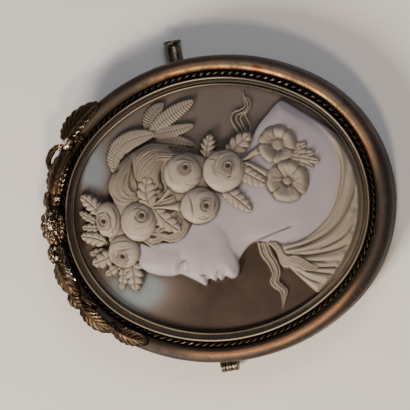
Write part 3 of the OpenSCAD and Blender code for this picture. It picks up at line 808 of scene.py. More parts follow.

# %% [markdown]
# ## Hair
#
# Hair is carved as locks side by side. Two guide lines are drawn for a sheaf, and each lock runs
# between them with a small wander of its own, from a fixed seed. A cell also keeps its place
# across the sheaf, counted in locks, so the finish can draw hairs finer than the cells. The locks
# are kept light and the brown, dirt and painted shade, stays between them.

# %% A sheaf of locks between two lines
def hair(left, right, locks, body=0.34, wander=0.05, points=28):
    """Locks of hair side by side between two guide lines, with the number of each lock."""
    a, b = flow(left, points), flow(right, points)
    apart = np.linalg.norm(a - b, axis=1)
    way, over = a[11] - a[10], b[10] - a[10]
    handed = np.sign(way[0] * over[1] - way[1] * over[0])
    layer = np.zeros_like(X)
    number = np.zeros_like(X)
    run = np.linspace(0, 1, points)
    for k in range(locks):
        middle = (k + 0.5 + chance.uniform(-0.12, 0.12)) / locks
        bend = wander * np.sin(np.linspace(0, 6, points) + chance.uniform(0, 6))[:, None]
        line = a * (1 - middle) + b * middle + bend * chance.uniform(-1, 1, 2)
        half = np.maximum(apart / locks * 0.62, 0.12)
        w, d, share, side = near(line, half.max() + 0.05)
        wide = np.interp(share, run, half)
        high = body * chance.uniform(0.8, 1.15)
        lock = high * dome(d / wide) * (0.55 + 0.45 * unit(share / 0.1))
        lock = lock * (0.45 + 0.55 * unit((1 - share) / 0.15))
        lock = np.where(d < wide, lock, 0)
        beside = locks * (middle + handed * side * d / np.interp(share, run, apart))
        number[w] = np.where(lock > layer[w], beside, number[w])
        layer[w] = np.maximum(layer[w], lock)
    return layer, number


def gather(sheaves):
    """The highest of several sheaves of hair at each place."""
    layer, number = sheaves[0]
    for other, other_number in sheaves[1:]:
        number = np.where(other > layer, other_number, number)
        layer = np.maximum(layer, other)
    return layer, number

# %% Lay the locks and comb them
def clear_strands(layer):
    """The strands themselves are kept light: the brown of dirt and painted shade stays between them."""
    dirt_and_shade[:] = dirt_and_shade * (1 - 0.85 * unit(layer / 0.12))


def lay_layer(layer, base, whiteness, warmth, dark=0.8):
    """Lays a layer over the shell, on what is there or from a base height."""
    w = window((X[layer > 0.03].min() - 0.8, Y[layer > 0.03].min() - 0.8),
               (X[layer > 0.03].max() + 0.8, Y[layer > 0.03].max() + 0.8))
    mask = blur(unit((layer[w] - 0.03) / 0.12), 0.06)
    under = blur(relief[w], 0.5) if base is None else np.maximum(relief[w], base)
    lay(w, under + layer[w], mask, whiteness, warmth, 0.2)
    between = unit((blur(layer[w], 0.13) - layer[w]) / 0.05) * mask
    darken(w, dark * between)


def comb(sheaves, base, warmth, dark):
    """Lays hair over the shell and keeps where its fine hairs run."""
    layer, number = gather(sheaves)
    clear_strands(layer)
    lay_layer(layer, base, 1.0, warmth, dark)
    strand[:] = np.where(layer > 0.03, number, strand)
    hairy[:] = np.maximum(hairy, unit(layer / 0.15))

# %% Mass of the hair under the locks
HAIR_MASS = [
    (-3.6, 13.8), (-4.4, 12.0), (-4.1, 10.2), (-4.3, 8.0), (-3.6, 6.0), (-2.0, 4.6), (1.0, 2.0),
    (5.0, 0.0), (8.4, 0.4), (9.8, 3.0), (10.6, 5.6), (12.0, 8.2), (12.2, 10.6), (11.4, 13.2),
    (10.2, 15.2), (8.2, 17.2), (6.0, 18.0), (4.0, 17.6), (2.4, 18.4), (-1.6, 19.4), (-4.0, 18.6),
    (-6.4, 15.8)
]
mass = outline_field(flow(HAIR_MASS + HAIR_MASS[:1], 120)[:-1])
mass_height = 1.75 * (0.5 + 0.5 * dome(1 - unit(mass / 2.4)))
lay(everywhere, mass_height, edge(mass), 1.0, 1.0)
dirt_and_shade = np.maximum(dirt_and_shade, 0.3 * edge(mass))
for spot, wide, tall, height in (((6.8, 15.4), 3.4, 2.2, 0.55), ((8.4, 10.8), 3.6, 2.2, 0.50)):
    relief += height * mound(X - spot[0], Y - spot[1], wide, tall) * edge(mass)

# %% Waves over the temple
# the two guide lines and the number of locks
waves = []
for left, right, locks in (
    ([(-2.6, 13.8), (-4.2, 12.4), (-4.6, 11.2), (-3.8, 10.0), (-4.3, 8.6), (-4.1, 7.0),
      (-3.2, 5.7), (-1.8, 4.9)],
     [(-1.6, 13.2), (-2.8, 12.0), (-3.1, 11.0), (-2.5, 9.8), (-2.9, 8.6), (-2.6, 7.4),
      (-1.9, 6.4), (-0.9, 5.8)], 3),
    ([(-1.4, 12.8), (-2.5, 11.6), (-2.8, 10.6), (-2.2, 9.4), (-2.5, 8.2), (-2.0, 7.0), (-1.2, 6.2)],
     [(-0.2, 12.2), (-1.2, 11.2), (-1.5, 10.2), (-0.9, 9.2), (-1.2, 8.2), (-0.8, 7.2), (-0.2, 6.6)], 3),
    ([(0.0, 12.0), (-0.9, 11.0), (-1.1, 10.0), (-0.5, 9.0), (-0.6, 8.0), (-0.1, 7.0)],
     [(1.2, 11.4), (0.5, 10.4), (0.3, 9.4), (0.6, 8.6), (0.6, 7.6), (0.9, 6.8)], 3),
    ([(1.4, 11.4), (1.1, 9.8), (1.5, 8.2), (1.8, 6.8)],
     [(3.0, 10.8), (2.9, 9.6), (3.1, 8.2), (3.4, 6.8)], 4),
    ([(2.8, 11.6), (3.2, 10.0), (3.8, 8.4)],
     [(4.6, 11.0), (4.6, 9.8), (4.8, 8.4)], 4)
):
    waves.append(hair(left, right, locks, 0.42))
comb(waves, 1.55, 0.7, 0.5)

# %% Locks of the bun
bun = [hair(
    [(2.9, 14.4), (3.3, 16.3), (4.6, 17.7), (6.3, 18.1), (7.9, 17.4), (9.5, 16.1), (10.7, 14.6),
     (11.3, 13.1)],
    [(4.9, 13.3), (5.1, 13.7), (5.6, 14.0), (6.3, 14.1), (7.0, 14.0), (7.7, 13.8), (8.4, 13.5),
     (8.9, 13.2)],
    11, 0.36, 0.10, 36)]
bun.append(hair(
    [(6.0, 12.9), (8.6, 13.1), (10.7, 12.8), (12.0, 11.6), (12.5, 9.8), (12.2, 8.0), (11.6, 5.8)],
    [(3.6, 12.6), (3.9, 11.2), (4.5, 10.0), (5.6, 9.1), (6.8, 8.8), (7.9, 8.6), (8.8, 8.2)],
    12, 0.38, 0.10, 36))
bun.append(hair(
    [(11.4, 10.4), (11.6, 8.8), (11.2, 7.0), (10.6, 5.0)],
    [(9.4, 9.4), (9.5, 8.2), (9.4, 7.0), (9.5, 5.6)], 5, 0.34, 0.08))
comb(bun, None, 0.75, 0.6)
cut([(3.6, 13.3), (4.9, 12.9), (6.2, 12.7), (7.4, 13.0), (8.8, 13.1), (10.4, 13.1)], 0.2, 0.45, 0.95)
cut([(5.0, 12.3), (6.0, 12.0), (6.7, 12.6)], 0.2, 0.30, 0.9)
cut([(3.9, 9.2), (4.9, 8.4), (6.4, 8.7), (8.2, 8.4)], 0.22, 0.45, 0.95)
print("hair over", round(float((hairy > 0.5).mean()) * 100, 1), "percent of the drawing")

# %% [markdown]
# ## Drapery and loose tresses
#
# The cloth is gathered under a knot at the throat and fans out along the foot of the bust. Each fold
# is a soft crest that widens along its way, with a sharp cut beside it. Two tresses fall from the
# knot and are combed like the hair. The one behind the neck is four loose strands with the brown
# ground between them.

# %% Cloth and the crests of its folds
DRAPERY = [
    (-7.8, -9.4), (-7.4, -12.0), (-6.8, -14.2), (-5.8, -16.2), (-4.2, -18.0), (-2.0, -19.4),
    (1.0, -20.7), (4.0, -21.3), (8.0, -20.8), (10.8, -19.4), (12.0, -18.4), (9.0, -21.6),
    (6.0, -23.5), (3.0, -24.5), (-2.0, -24.6), (-7.0, -23.4), (-12.0, -20.2), (-16.6, -15.0),
    (-16.2, -13.8), (-11.2, -10.0)
]
cloth = outline_field(DRAPERY)
in_cloth = edge(cloth, 0.9) * (skin > 0)
cloth_edge = unit(skin / 1.2)
cloth_height = 1.25 * (0.45 + 0.55 * dome(1 - cloth_edge))
FOLDS = [
    # the crest of each fold, its width and its height
    ([(-12.4, -11.2), (-14.2, -13.2), (-15.6, -15.0)], 0.75, 0.30),
    ([(-11.8, -12.0), (-13.3, -14.4), (-14.3, -16.8)], 0.55, 0.34),
    ([(-11.6, -13.0), (-12.5, -15.4), (-13.1, -18.4)], 0.42, 0.34),
    ([(-11.0, -13.0), (-11.7, -15.4), (-12.0, -19.0)], 0.50, 0.42),
    ([(-10.4, -12.4), (-10.6, -15.4), (-10.8, -18.4), (-10.4, -20.6)], 0.52, 0.46),
    ([(-9.2, -11.6), (-9.3, -15.0), (-9.0, -18.0), (-8.2, -20.4), (-6.8, -22.2)], 0.48, 0.46),
    ([(-8.7, -10.6), (-8.6, -13.6), (-8.0, -16.6), (-6.9, -19.2), (-5.4, -21.2), (-2.8, -23.0)], 0.50, 0.50),
    ([(-7.8, -10.4), (-7.6, -13.4), (-6.9, -15.8), (-5.7, -18.2), (-3.6, -20.4), (-0.4, -22.2),
      (3.6, -23.4)], 0.55, 0.46),
    ([(-7.4, -11.6), (-6.7, -14.6), (-5.4, -17.0), (-3.2, -19.2), (-0.4, -20.8), (3.4, -21.9),
      (7.6, -21.6), (10.8, -19.6)], 0.42, 0.36)
]
fold_layer = np.zeros_like(X)
for crest, width, height in FOLDS:
    w, d, share, _ = near(flow(crest), 2.4 * width)
    grow = 0.6 + 0.8 * share
    ends = np.clip((1 - share) / 0.1, 0.3, 1)
    fold_layer[w] = np.maximum(fold_layer[w], 0.8 * height * ends * bell(d, width * grow))
lay(everywhere, cloth_height + fold_layer, in_cloth, 1.0, 0.6, groove=0.0, dark=0.0)
dirt_and_shade = np.maximum(dirt_and_shade, 0.2 * in_cloth)

# %% Cuts between the folds
for line, width, depth in (
    ([(-12.0, -11.4), (-13.8, -13.4), (-14.8, -15.2)], 0.14, 0.22),
    ([(-12.2, -12.6), (-13.0, -15.0), (-13.7, -17.8)], 0.16, 0.34),
    ([(-11.3, -12.9), (-12.1, -15.0), (-12.6, -18.8)], 0.15, 0.36),
    ([(-10.9, -13.0), (-11.1, -14.8), (-11.4, -16.8)], 0.12, 0.26),
    ([(-9.9, -11.6), (-9.9, -15.4), (-9.6, -18.8), (-8.8, -21.4)], 0.16, 0.36),
    ([(-9.2, -15.4), (-8.6, -18.0), (-7.4, -20.6), (-5.2, -22.8)], 0.14, 0.30),
    ([(-8.3, -10.6), (-8.2, -13.0), (-7.5, -15.6), (-6.4, -18.2), (-4.4, -20.8), (-1.4, -22.8),
      (1.2, -23.8)], 0.17, 0.38),
    ([(-7.4, -10.0), (-7.3, -12.4), (-6.5, -14.8), (-5.0, -17.2), (-3.0, -19.2), (0.0, -20.8),
      (4.0, -21.7), (8.0, -21.3)], 0.15, 0.24)
):
    cut(line, width, depth, 0.6)

# %% Tresses
def tress(lines, width, height):
    """Loose strands, each a line of its own with the ground between them."""
    layer = np.zeros_like(X)
    for line in lines:
        w, d, share, _ = near(flow(line, 40), width)
        thick = width * (1 - 0.45 * share)
        layer[w] = np.maximum(layer[w], height * dome(d / thick) * (1 - 0.3 * share ** 3))
    return layer


RIGHT_TRESS = [
    [(9.8, -4.4), (11.4, -5.1), (12.5, -5.1), (13.6, -4.6), (14.7, -4.4), (15.6, -5.0),
     (15.8, -6.2), (16.5, -7.0), (18.5, -6.9)],
    [(9.8, -5.2), (11.8, -5.9), (13.0, -5.7), (14.2, -5.2), (15.0, -5.5), (15.4, -6.6),
     (16.2, -7.4), (17.8, -7.2)],
    [(10.2, -6.0), (12.0, -6.5), (13.2, -6.2), (14.4, -5.9), (15.0, -6.5), (15.7, -7.5),
     (16.6, -7.9), (17.6, -7.5)],
    [(10.6, -6.8), (12.3, -7.3), (13.6, -7.2), (14.7, -6.8), (15.4, -7.3)]
]
LEFT_TRESS = (
    [(-6.6, -5.7), (-8.6, -5.9), (-10.3, -6.8), (-12.0, -7.2), (-13.2, -6.7), (-14.2, -7.1),
     (-15.1, -8.0), (-16.4, -8.1), (-17.9, -7.9)],
    [(-7.0, -7.5), (-8.8, -8.0), (-10.3, -8.6), (-12.0, -8.8), (-13.4, -8.2), (-14.3, -8.8),
     (-15.2, -9.4), (-16.4, -8.9), (-17.7, -8.2)]
)
FALLING_TRESS = (
    [(-6.8, -7.6), (-8.0, -8.5), (-9.6, -8.8), (-11.0, -9.2), (-11.3, -10.0), (-10.9, -10.9),
     (-11.3, -12.0), (-12.2, -13.2), (-12.7, -14.9)],
    [(-7.0, -9.0), (-8.0, -9.8), (-9.0, -10.1), (-9.5, -10.8), (-9.4, -11.6), (-9.7, -12.4),
     (-10.3, -13.2), (-11.2, -14.2), (-11.9, -15.4)]
)
comb([hair(*LEFT_TRESS, 4, 0.5, 0.05, 40)], None, 0.8, 0.6)
comb([hair(*FALLING_TRESS, 4, 0.5, 0.05, 40)], None, 0.8, 0.6)
lay_layer(tress(RIGHT_TRESS, 0.25, 0.50), None, 0.8, 0.8)

# %% [markdown]
# ## Leaves and sprays
#
# The leaves of the wreath are lobed, with a midrib and a vein into every lobe, and the sprays
# behind the bun are ribbed across like feathers. Both follow a line with a width that is narrow at
# each end, so one function makes each kind. The ones behind are laid first.

# %% A lobed leaf
def leaf(foot, tip, width, lobes, height, bow, vein, whiteness, base=None, notch=0.3):
    """A lobed leaf with a midrib, and a vein into every lobe."""
    foot, tip = np.array(foot, float), np.array(tip, float)
    run = tip - foot
    size = np.linalg.norm(run)
    turn = np.array([-run[1], run[0]]) / size
    line = flow([foot, (foot + tip) / 2 + turn * bow, tip], 24)
    w, d, share, _ = near(line, width)
    t = d / (width / 2)
    round_share = 2 * unit(share * 0.96 + 0.03) ** 0.9 - 1
    outline = np.sqrt(unit(1 - round_share ** 2))
    slant = 0.55 * d / size
    phase = lobes * unit(share - slant)
    scallop = np.abs(np.sin(np.pi * phase)) ** 0.7
    teeth = np.abs(np.sin(3 * np.pi * phase))
    outline = outline * (1 - notch + notch * scallop - 0.12 * (1 - teeth))
    d_in = (outline - t) * width / 2
    mask = edge(d_in, 0.12)
    body = height * (0.70 + 0.30 * dome(unit(t / np.maximum(outline, 0.05))))
    rib = -1.6 * vein * bell(d, 0.09)
    veins = 1.2 * vein * (scallop - 0.6) * unit(d / 0.25)
    under = 0 if base is None else base
    lay(w, under + body + rib + veins, mask, whiteness, 0.9, groove=0.2, dark=0.6)
    lines = np.maximum(0.6 * bell(d, 0.09),
                       0.75 * unit(1 - scallop / 0.45) * unit(d / 0.2))
    darken(w, lines * mask * (t < outline))

# %% A feathery spray
def frond(line, width, height, ribs, whiteness, slant=0.6):
    """A feathery leaf, ribbed across, with a toothed edge."""
    path = flow(line, 30)
    w, d, share, _ = near(path, width)
    t = d / (width / 2)
    outline = unit(np.sin(np.pi * unit(share * 0.9 + 0.09)) ** 0.55)
    wave = np.abs(np.sin(np.pi * (ribs * share - slant * t)))
    outline = outline * (0.84 + 0.16 * wave)
    mask = edge((outline - t) * width / 2, 0.12)
    body = height * (0.75 + 0.25 * dome(unit(t))) + 0.16 * (wave - 0.6)
    body = body - 0.10 * bell(d, 0.08)
    lay(w, body, mask, whiteness, 0.95, groove=0.1)
    lines = np.maximum(0.3 * unit(1 - wave / 0.5), 0.3 * bell(d, 0.08))
    darken(w, lines * mask)

# %% Sprays behind the bun
# line, width, height, ribs, share of the pale layer left, and slant of the ribs
frond([(14.6, 10.0), (16.2, 9.6), (17.6, 8.6), (18.8, 6.8)], 2.6, 0.45, 14, 0.42)
frond([(12.8, 8.6), (12.7, 6.4), (12.1, 4.4), (11.1, 2.2)], 1.7, 0.45, 12, 0.4)
frond([(11.4, 6.4), (10.8, 5.0), (10.4, 3.4)], 1.4, 0.3, 7, 0.35)
frond([(14.4, 9.4), (15.9, 7.2), (17.2, 4.6), (18.5, 1.6)], 2.8, 0.70, 18, 0.82)
frond([(13.9, 9.4), (14.0, 7.0), (14.1, 4.6), (14.5, 2.1)], 2.1, 0.55, 15, 0.74)
frond([(9.4, 16.5), (11.0, 16.4), (12.6, 15.3), (13.5, 13.5), (13.9, 11.4), (14.0, 9.0)],
      3.4, 0.85, 26, 0.78, 1.2)

# %% Leaves of the wreath
# foot, tip, width, lobes, height, bow, depth of its veins, and share of the pale layer left
for item in (
    ((-4.2, 20.2), (-4.1, 23.2), 1.7, 3, 0.55, 0.0, 0.06, 0.6),
    ((-6.0, 17.6), (-8.0, 21.0), 1.9, 3, 0.85, 0.2, 0.10, 0.85),
    ((-7.0, 17.6), (-10.8, 18.7), 1.9, 3, 0.85, 0.2, 0.10, 0.85),
    ((-6.2, 15.9), (-11.2, 16.1), 3.2, 4, 1.30, 0.1, 0.12, 1.0),
    ((-4.8, 18.8), (-5.9, 22.8), 2.9, 3, 1.30, 0.1, 0.12, 1.0),
    ((-2.6, 19.8), (-1.0, 24.0), 2.9, 4, 1.30, -0.2, 0.12, 1.0),
    ((-0.2, 20.6), (0.4, 23.7), 1.7, 3, 1.00, 0.0, 0.10, 0.9),
    ((0.9, 21.0), (3.0, 23.8), 1.6, 4, 1.00, 0.0, 0.10, 0.9),
    ((2.2, 20.0), (5.6, 23.0), 2.8, 4, 1.30, -0.1, 0.12, 1.0)
):
    leaf(*item)
# leaves among the roses, which also have the height that they start from and how deep they are cut
for item in (
    ((8.6, 0.6), (12.4, -0.6), 2.9, 4, 1.10, 0.1, 0.12, 1.0, None, 0.5),
    ((8.0, -3.0), (11.5, -7.3), 3.6, 4, 1.20, 0.2, 0.13, 1.0, 0.5, 0.35),
    ((3.4, -1.6), (-1.0, -5.8), 2.7, 5, 1.00, 0.1, 0.12, 1.0, 1.2, 0.25),
    ((6.6, -4.4), (3.0, -8.9), 3.2, 5, 0.90, -0.1, 0.12, 1.0, 1.2, 0.25),
    ((6.7, -13.2), (4.4, -17.1), 1.6, 3, 0.60, 0.1, 0.10, 1.0, 1.05, 0.2),
    ((7.8, -13.2), (8.5, -16.5), 1.6, 3, 0.60, 0.0, 0.10, 1.0, 1.05, 0.2),
    ((7.2, -13.2), (6.8, -17.6), 1.7, 3, 0.68, 0.0, 0.10, 1.0, 1.05, 0.2),
    ((6.9, -13.2), (5.3, -18.2), 1.6, 3, 0.72, 0.1, 0.10, 1.0, 1.05, 0.2),
    ((2.0, 10.6), (-2.6, 6.6), 3.0, 4, 0.62, -0.3, 0.12, 1.0, 1.75, 0.3),
    ((1.8, 10.9), (7.0, 10.7), 3.6, 4, 0.70, 0.5, 0.12, 1.0, 1.90, 0.35)
):
    leaf(*item)

# %% Stalks that widen into a cup
def stalk(points, narrow, wide, base):
    """A stalk that widens into the cup of its flower, 0.6 mm high."""
    w, d, share, _ = near(flow(points), wide + 0.4)
    half = (narrow + (wide - narrow) * share ** 1.5) / 2
    lay(w, base + 0.6 * dome(unit(d / half)), edge(half - d, 0.1), 1.0, 0.9, 0.3)


stalk([(1.9, 10.9), (1.8, 9.6), (1.6, 8.0), (1.4, 6.2)], 0.28, 1.5, 1.75)
stalk([(2.2, 10.6), (2.8, 9.4), (3.7, 8.1), (4.7, 7.0)], 0.28, 1.1, 1.75)
stalk([(7.1, -4.9), (6.7, -6.4), (5.8, -7.7), (4.5, -9.4)], 0.45, 1.3, 1.35)
stalk([(7.3, -4.9), (7.7, -6.4), (8.3, -7.5), (8.8, -9.0)], 0.45, 1.5, 1.35)

# %% [markdown]
# ## Roses and blossoms
#
# A rose is a ball with a deep eye, rings round it and long petal edges, which are arcs cut into the
# ball. The boldest arcs are given one by one and the faint ones are left to chance with a fixed
# seed. A blossom is flat: petals that touch, small pleats, a hollow and a stippled middle. Roses are
# the highest forms, so they are moved down a little more for the camera's lean.

# %% A full rose
HIGH_DROP = 0.3


def rose(centre, size, eye, top, rings, petals):
    """A full rose: a ball, its eye, rings round the eye and long petal edges over the ball."""
    cx, cy = centre[0], centre[1] - HIGH_DROP
    rx, ry = size
    w = window((cx - rx - 1, cy - ry - 1), (cx + rx + 1, cy + ry + 1))
    x, y = X[w] - cx, Y[w] - cy
    share = np.hypot(x / rx, y / ry)
    share = share * (1 - 0.012 * np.sin(3 * np.arctan2(y, x) + cx))
    mask = edge((1 - share) * min(rx, ry), 0.12)
    height = top * (0.52 + 0.48 * dome(unit(share) ** 1.3))
    grime_and_shade = np.zeros_like(x)
    for px, py, radius, start, end, depth in [eye + ring for ring in rings] + list(petals):
        over, above = X[w] - px, Y[w] - py + HIGH_DROP
        ring = np.hypot(over, above)
        way = (np.arctan2(above, over) - np.radians(start)) % (2 * np.pi)
        span = np.radians(end - start)
        along = rise(np.minimum(way, span - way), 0, 0.5) * (way < span)
        if end - start >= 360:
            along = 1.0
        groove = along * bell(ring - radius, 0.16 if radius < 1.3 else 0.12)
        lip = along * bell(ring - radius + 0.22, 0.16)
        height = height - depth * groove + 0.5 * depth * lip
        grime_and_shade = np.maximum(grime_and_shade, np.clip(0.35 + 4 * depth, 0, 0.85) * groove)
    # fainter petal edges, which the graver left all over the ball
    for _ in range(9):
        radius, start = chance.uniform(1.3, 3.6), chance.uniform(0, 360)
        px, py = np.array(eye) + chance.uniform(-0.7, 0.7, 2)
        over, above = X[w] - px, Y[w] - py + HIGH_DROP
        ring = np.hypot(over, above) * (1 + 0.04 * np.sin(5 * np.arctan2(above, over) + start))
        way = (np.arctan2(above, over) - np.radians(start)) % (2 * np.pi)
        along = rise(np.minimum(way, chance.uniform(1.0, 2.4) - way), 0, 0.5)
        groove = along * bell(ring - radius, 0.10)
        height = height - 0.06 * groove + 0.03 * along * bell(ring - radius + 0.2, 0.16)
        grime_and_shade = np.maximum(grime_and_shade, 0.45 * groove)
    # the deep eye and the ring round it are painted dark, as dirt and painted shade
    rho = np.hypot(X[w] - eye[0], Y[w] - eye[1] + HIGH_DROP)
    height = height - 0.6 * bell(rho, 0.42, 4)
    grime_and_shade = np.maximum(grime_and_shade, np.maximum(0.85 * bell(rho, 0.44, 4),
                                       0.5 * bell(rho - 0.75, 0.32)))
    lay(w, height, mask, 1.0, 0.45, groove=0.6, halo=0.2)
    dirt_and_shade[w] = dirt_and_shade[w] * (1 - mask) + grime_and_shade * mask

# %% Six roses
# centre, half sizes, eye, height, rings round the eye as radius, start, end and depth, and petal
# edges as the centre of their arc, radius, start, end and depth
rose((-4.6, 17.2), (2.75, 2.75), (-5.35, 17.35), 2.6,
     ((0.78, 20, 300, 0.14), (1.12, 60, 260, 0.13), (1.52, 50, 220, 0.12), (1.95, 50, 170, 0.10)),
     ((2.0, 17.0, 6.3, 158, 205, 0.16), (-7.0, 17.4, 4.2, -38, 38, 0.08),
      (-8.2, 17.2, 3.2, -35, 35, 0.06)))
rose((1.0, 19.1), (2.95, 2.25), (0.95, 19.75), 2.5,
     ((0.72, 20, 200, 0.16), (0.98, 0, 210, 0.12), (1.42, -30, 215, 0.16)),
     ((0.9, 20.4, 1.95, 195, 330, 0.12), (-0.6, 21.6, 3.2, 238, 300, 0.08),
      (1.2, 20.6, 3.2, 215, 320, 0.10)))
rose((-0.1, 13.8), (3.25, 3.1), (0.95, 12.85), 3.1,
     ((0.80, 0, 360, 0.08), (1.12, 70, 300, 0.16), (1.45, 200, 330, 0.06)),
     ((-0.4, 13.4, 2.6, -20, 40, 0.07), (0.2, 14.2, 2.2, 20, 80, 0.05)))
rose((6.7, 5.1), (3.15, 3.2), (7.75, 4.2), 3.0,
     ((0.78, 0, 360, 0.07), (1.08, 40, 260, 0.12), (1.42, 60, 200, 0.07)),
     ((6.4, 4.9, 2.75, -60, 30, 0.10), (6.9, 3.2, 2.4, 130, 215, 0.07), (7.0, 2.6, 1.5, 150, 220, 0.05)))
rose((1.0, 3.0), (2.98, 3.3), (0.9, 1.6), 3.1,
     ((0.66, 0, 360, 0.06), (0.92, -40, 200, 0.17), (1.25, -60, 60, 0.08), (1.35, 150, 290, 0.07)),
     ((1.0, 9.5, 5.5, 240, 300, 0.15), (1.6, 2.4, 2.9, 150, 215, 0.12), (1.4, 2.4, 2.3, 160, 205, 0.08),
      (1.0, 2.6, 2.5, 235, 300, 0.07)))
rose((6.1, -1.9), (3.5, 3.55), (6.9, -3.0), 3.1,
     ((0.80, 0, 360, 0.14), (1.15, 0, 360, 0.06), (1.55, -60, 200, 0.06)),
     ((6.9, -2.9, 1.85, 155, 205, 0.26), (7.0, -2.6, 2.2, 60, 150, 0.07), (6.6, -1.0, 2.6, 215, 300, 0.08),
      (5.6, 0.4, 2.9, -50, 10, 0.05)))

# %% An open blossom
def blossom(centre, size, top, splits, middle, dips, disc):
    """An open flower: petals that touch, a hollow round the middle, and the middle itself."""
    cx, cy = centre
    w = window((cx - size - 1, cy - size - 1), (cx + size + 1, cy + size + 1))
    x, y = X[w] - cx, Y[w] - cy
    rho = np.hypot(x, y)
    theta = np.degrees(np.arctan2(y, x)) % 360
    splits = sorted(s % 360 for s in splits)
    share = np.zeros_like(x)
    gap = np.zeros_like(x)
    for a, b in zip(splits, splits[1:] + [splits[0] + 360]):
        way = (theta - a) % 360
        here = way < b - a
        share = np.where(here, way / (b - a), share)
        gap = np.where(here, np.minimum(way, b - a - way), gap)
    lobed = 1 - dips * bell(gap, 8) - 0.4 * dips * bell(share - 0.5, 0.08)
    lobed = lobed + 0.012 * np.sin(np.radians(theta) * 13)
    reach = size * lobed
    t = rho / reach
    mask = edge(reach - rho, 0.12)
    bulge = np.sin(np.pi * share) ** 0.5
    height = top * (0.66 + 0.28 * np.sin(np.pi * unit(t) ** 2.4) * (0.75 + 0.25 * bulge))
    groove = bell(gap * np.radians(1) * rho, 0.12) * rise(t, 0.28, 0.5)
    height = height - 0.28 * groove
    plait = np.abs(np.sin(np.pi * share * 4)) * rise(t, 0.25, 0.45) * (1 - rise(t, 0.62, 0.88))
    height = height - 0.06 * plait
    grime_and_shade = np.maximum(0.6 * groove, 0.42 * (1 - rise(t, 0.30, 0.78)) * (0.5 + 0.5 * plait))
    height = height - 0.5 * bell(rho, middle * 1.35, 4)
    grime_and_shade = np.maximum(grime_and_shade, 0.85 * bell(rho - middle * 1.15, 0.20)
                      * (0.55 + 0.45 * np.sin(np.radians(theta) * 7 + cx)))
    stipple = np.sin(x * 15 + 2 * y) * np.sin(y * 15 - 2 * x)
    height = height + (0.55 + 0.05 * stipple) * bell(rho, middle * 0.88, 6)
    if not disc:
        spots = unit(np.cos(np.radians(theta - 70) * 6)) ** 3
        height = height + 0.20 * spots * bell(rho - 1.5 * middle, 0.6 * middle)
        grime_and_shade = np.maximum(grime_and_shade, 0.6 * (1 - spots) * bell(rho - 1.4 * middle, 0.45 * middle))
    grime_and_shade = np.maximum(grime_and_shade, (0.24 - 0.12 * stipple) * (rho < middle))
    grime_and_shade = np.maximum(grime_and_shade, 0.22 * mask)
    lay(w, height, mask, 1.0, 0.65, groove=0.5, halo=0.2)
    dirt_and_shade[w] = dirt_and_shade[w] * (1 - mask) + grime_and_shade * mask

# %% Two blossoms
# centre, radius, height, directions of the splits, radius of the middle, dips, and a plain disc or not
blossom((9.1, -11.7), 3.2, 2.2, (158, 78, 8, -42, -118), 0.98, 0.05, True)
blossom((2.9, -12.5), 3.5, 2.3, (120, 27, -49, 218), 0.72, 0.07, False)

# %% [markdown]
# ## Softening, dirt with painted shade, and painted reflection
#
# The last polish takes the sharpness off, so the whole drawing is blurred by half a cell. Brown is
# painted where a place is lower than what is round it, partly as dirt and partly as painted shade.
# The pale layer thins out towards the ground, and pale blue grey patches of painted reflection lie
# on the ground at the head, towards the right side and towards the top.

# %% Softening
relief = blur(relief, 0.045)
wide_hollow = unit((blur(relief, 0.5) - relief) / 0.55)
fine_hollow = unit((blur(relief, 0.16) - relief) / 0.09)
hollow = unit(wide_hollow + 0.55 * fine_hollow)

# %% Pale layer, painted reflection, and dirt with painted shade
layer_left = white * unit(relief / 0.5) ** 0.5
# pale patches where the polished ground reflects light, at the head and towards the right and the top:
# painted reflection
sheen_at_head = (0.66 * mound(X - 8.6, Y - 20.6, 4.6, 2.8)
                  + 0.95 * mound(X + 11.4, Y - 15.4, 3.9, 6.0))
haze = 0.6 * rise(X, -1, 13) + 0.35 * rise(Y, 4, 18) * (1 - rise(X, -6, 6))
sheen_share = unit(sheen_at_head + haze)
# brown painted in every hollow, as dirt and painted shade
dirt_and_shade = unit(np.maximum(dirt_and_shade, 0.55 * hollow))
print("carved up to", round(float(relief.max()), 2), "mm over the ground")

# %% [markdown]
# ## The cameo as a solid
#
# The drawing of heights becomes the top of a closed solid. A square of cells is pressed into the
# oval, so the rows end on the girdle and the rim is smooth. The back is hollowed, as the shell
# itself is curved. The mesh is then thinned where it is flat, which leaves the triangles for the
# carving, and what each point needs for its finish is read from the drawing afterwards.

# %% Build the solid and thin it
RIM_LOW_Z = 3.64
FLAT_BORDER = 0.1
HOLLOW_RISE = 1.6
COLUMNS = 480
ROWS = 572
KEPT_SHARE = 0.31


def sample(field, x, y):
    """The value of a field of the drawing at places on the shell."""
    i = np.clip((x - across[0]) / CELL, 0, len(across) - 1.001)
    j = np.clip((y - upward[0]) / CELL, 0, len(upward) - 1.001)
    i0, j0 = i.astype(int), j.astype(int)
    fi, fj = i - i0, j - j0
    return ((field[j0, i0] * (1 - fi) + field[j0, i0 + 1] * fi) * (1 - fj)
            + (field[j0 + 1, i0] * (1 - fi) + field[j0 + 1, i0 + 1] * fi) * fj)


u, v = np.meshgrid(np.linspace(-1, 1, COLUMNS + 1), np.linspace(-1, 1, ROWS + 1))
shell_x = GIRDLE_B * u * np.sqrt(1 - v * v / 2)
shell_y = GIRDLE_A * v * np.sqrt(1 - u * u / 2)
rounding = 1 - (shell_x / GIRDLE_B) ** 2 - (shell_y / GIRDLE_A) ** 2
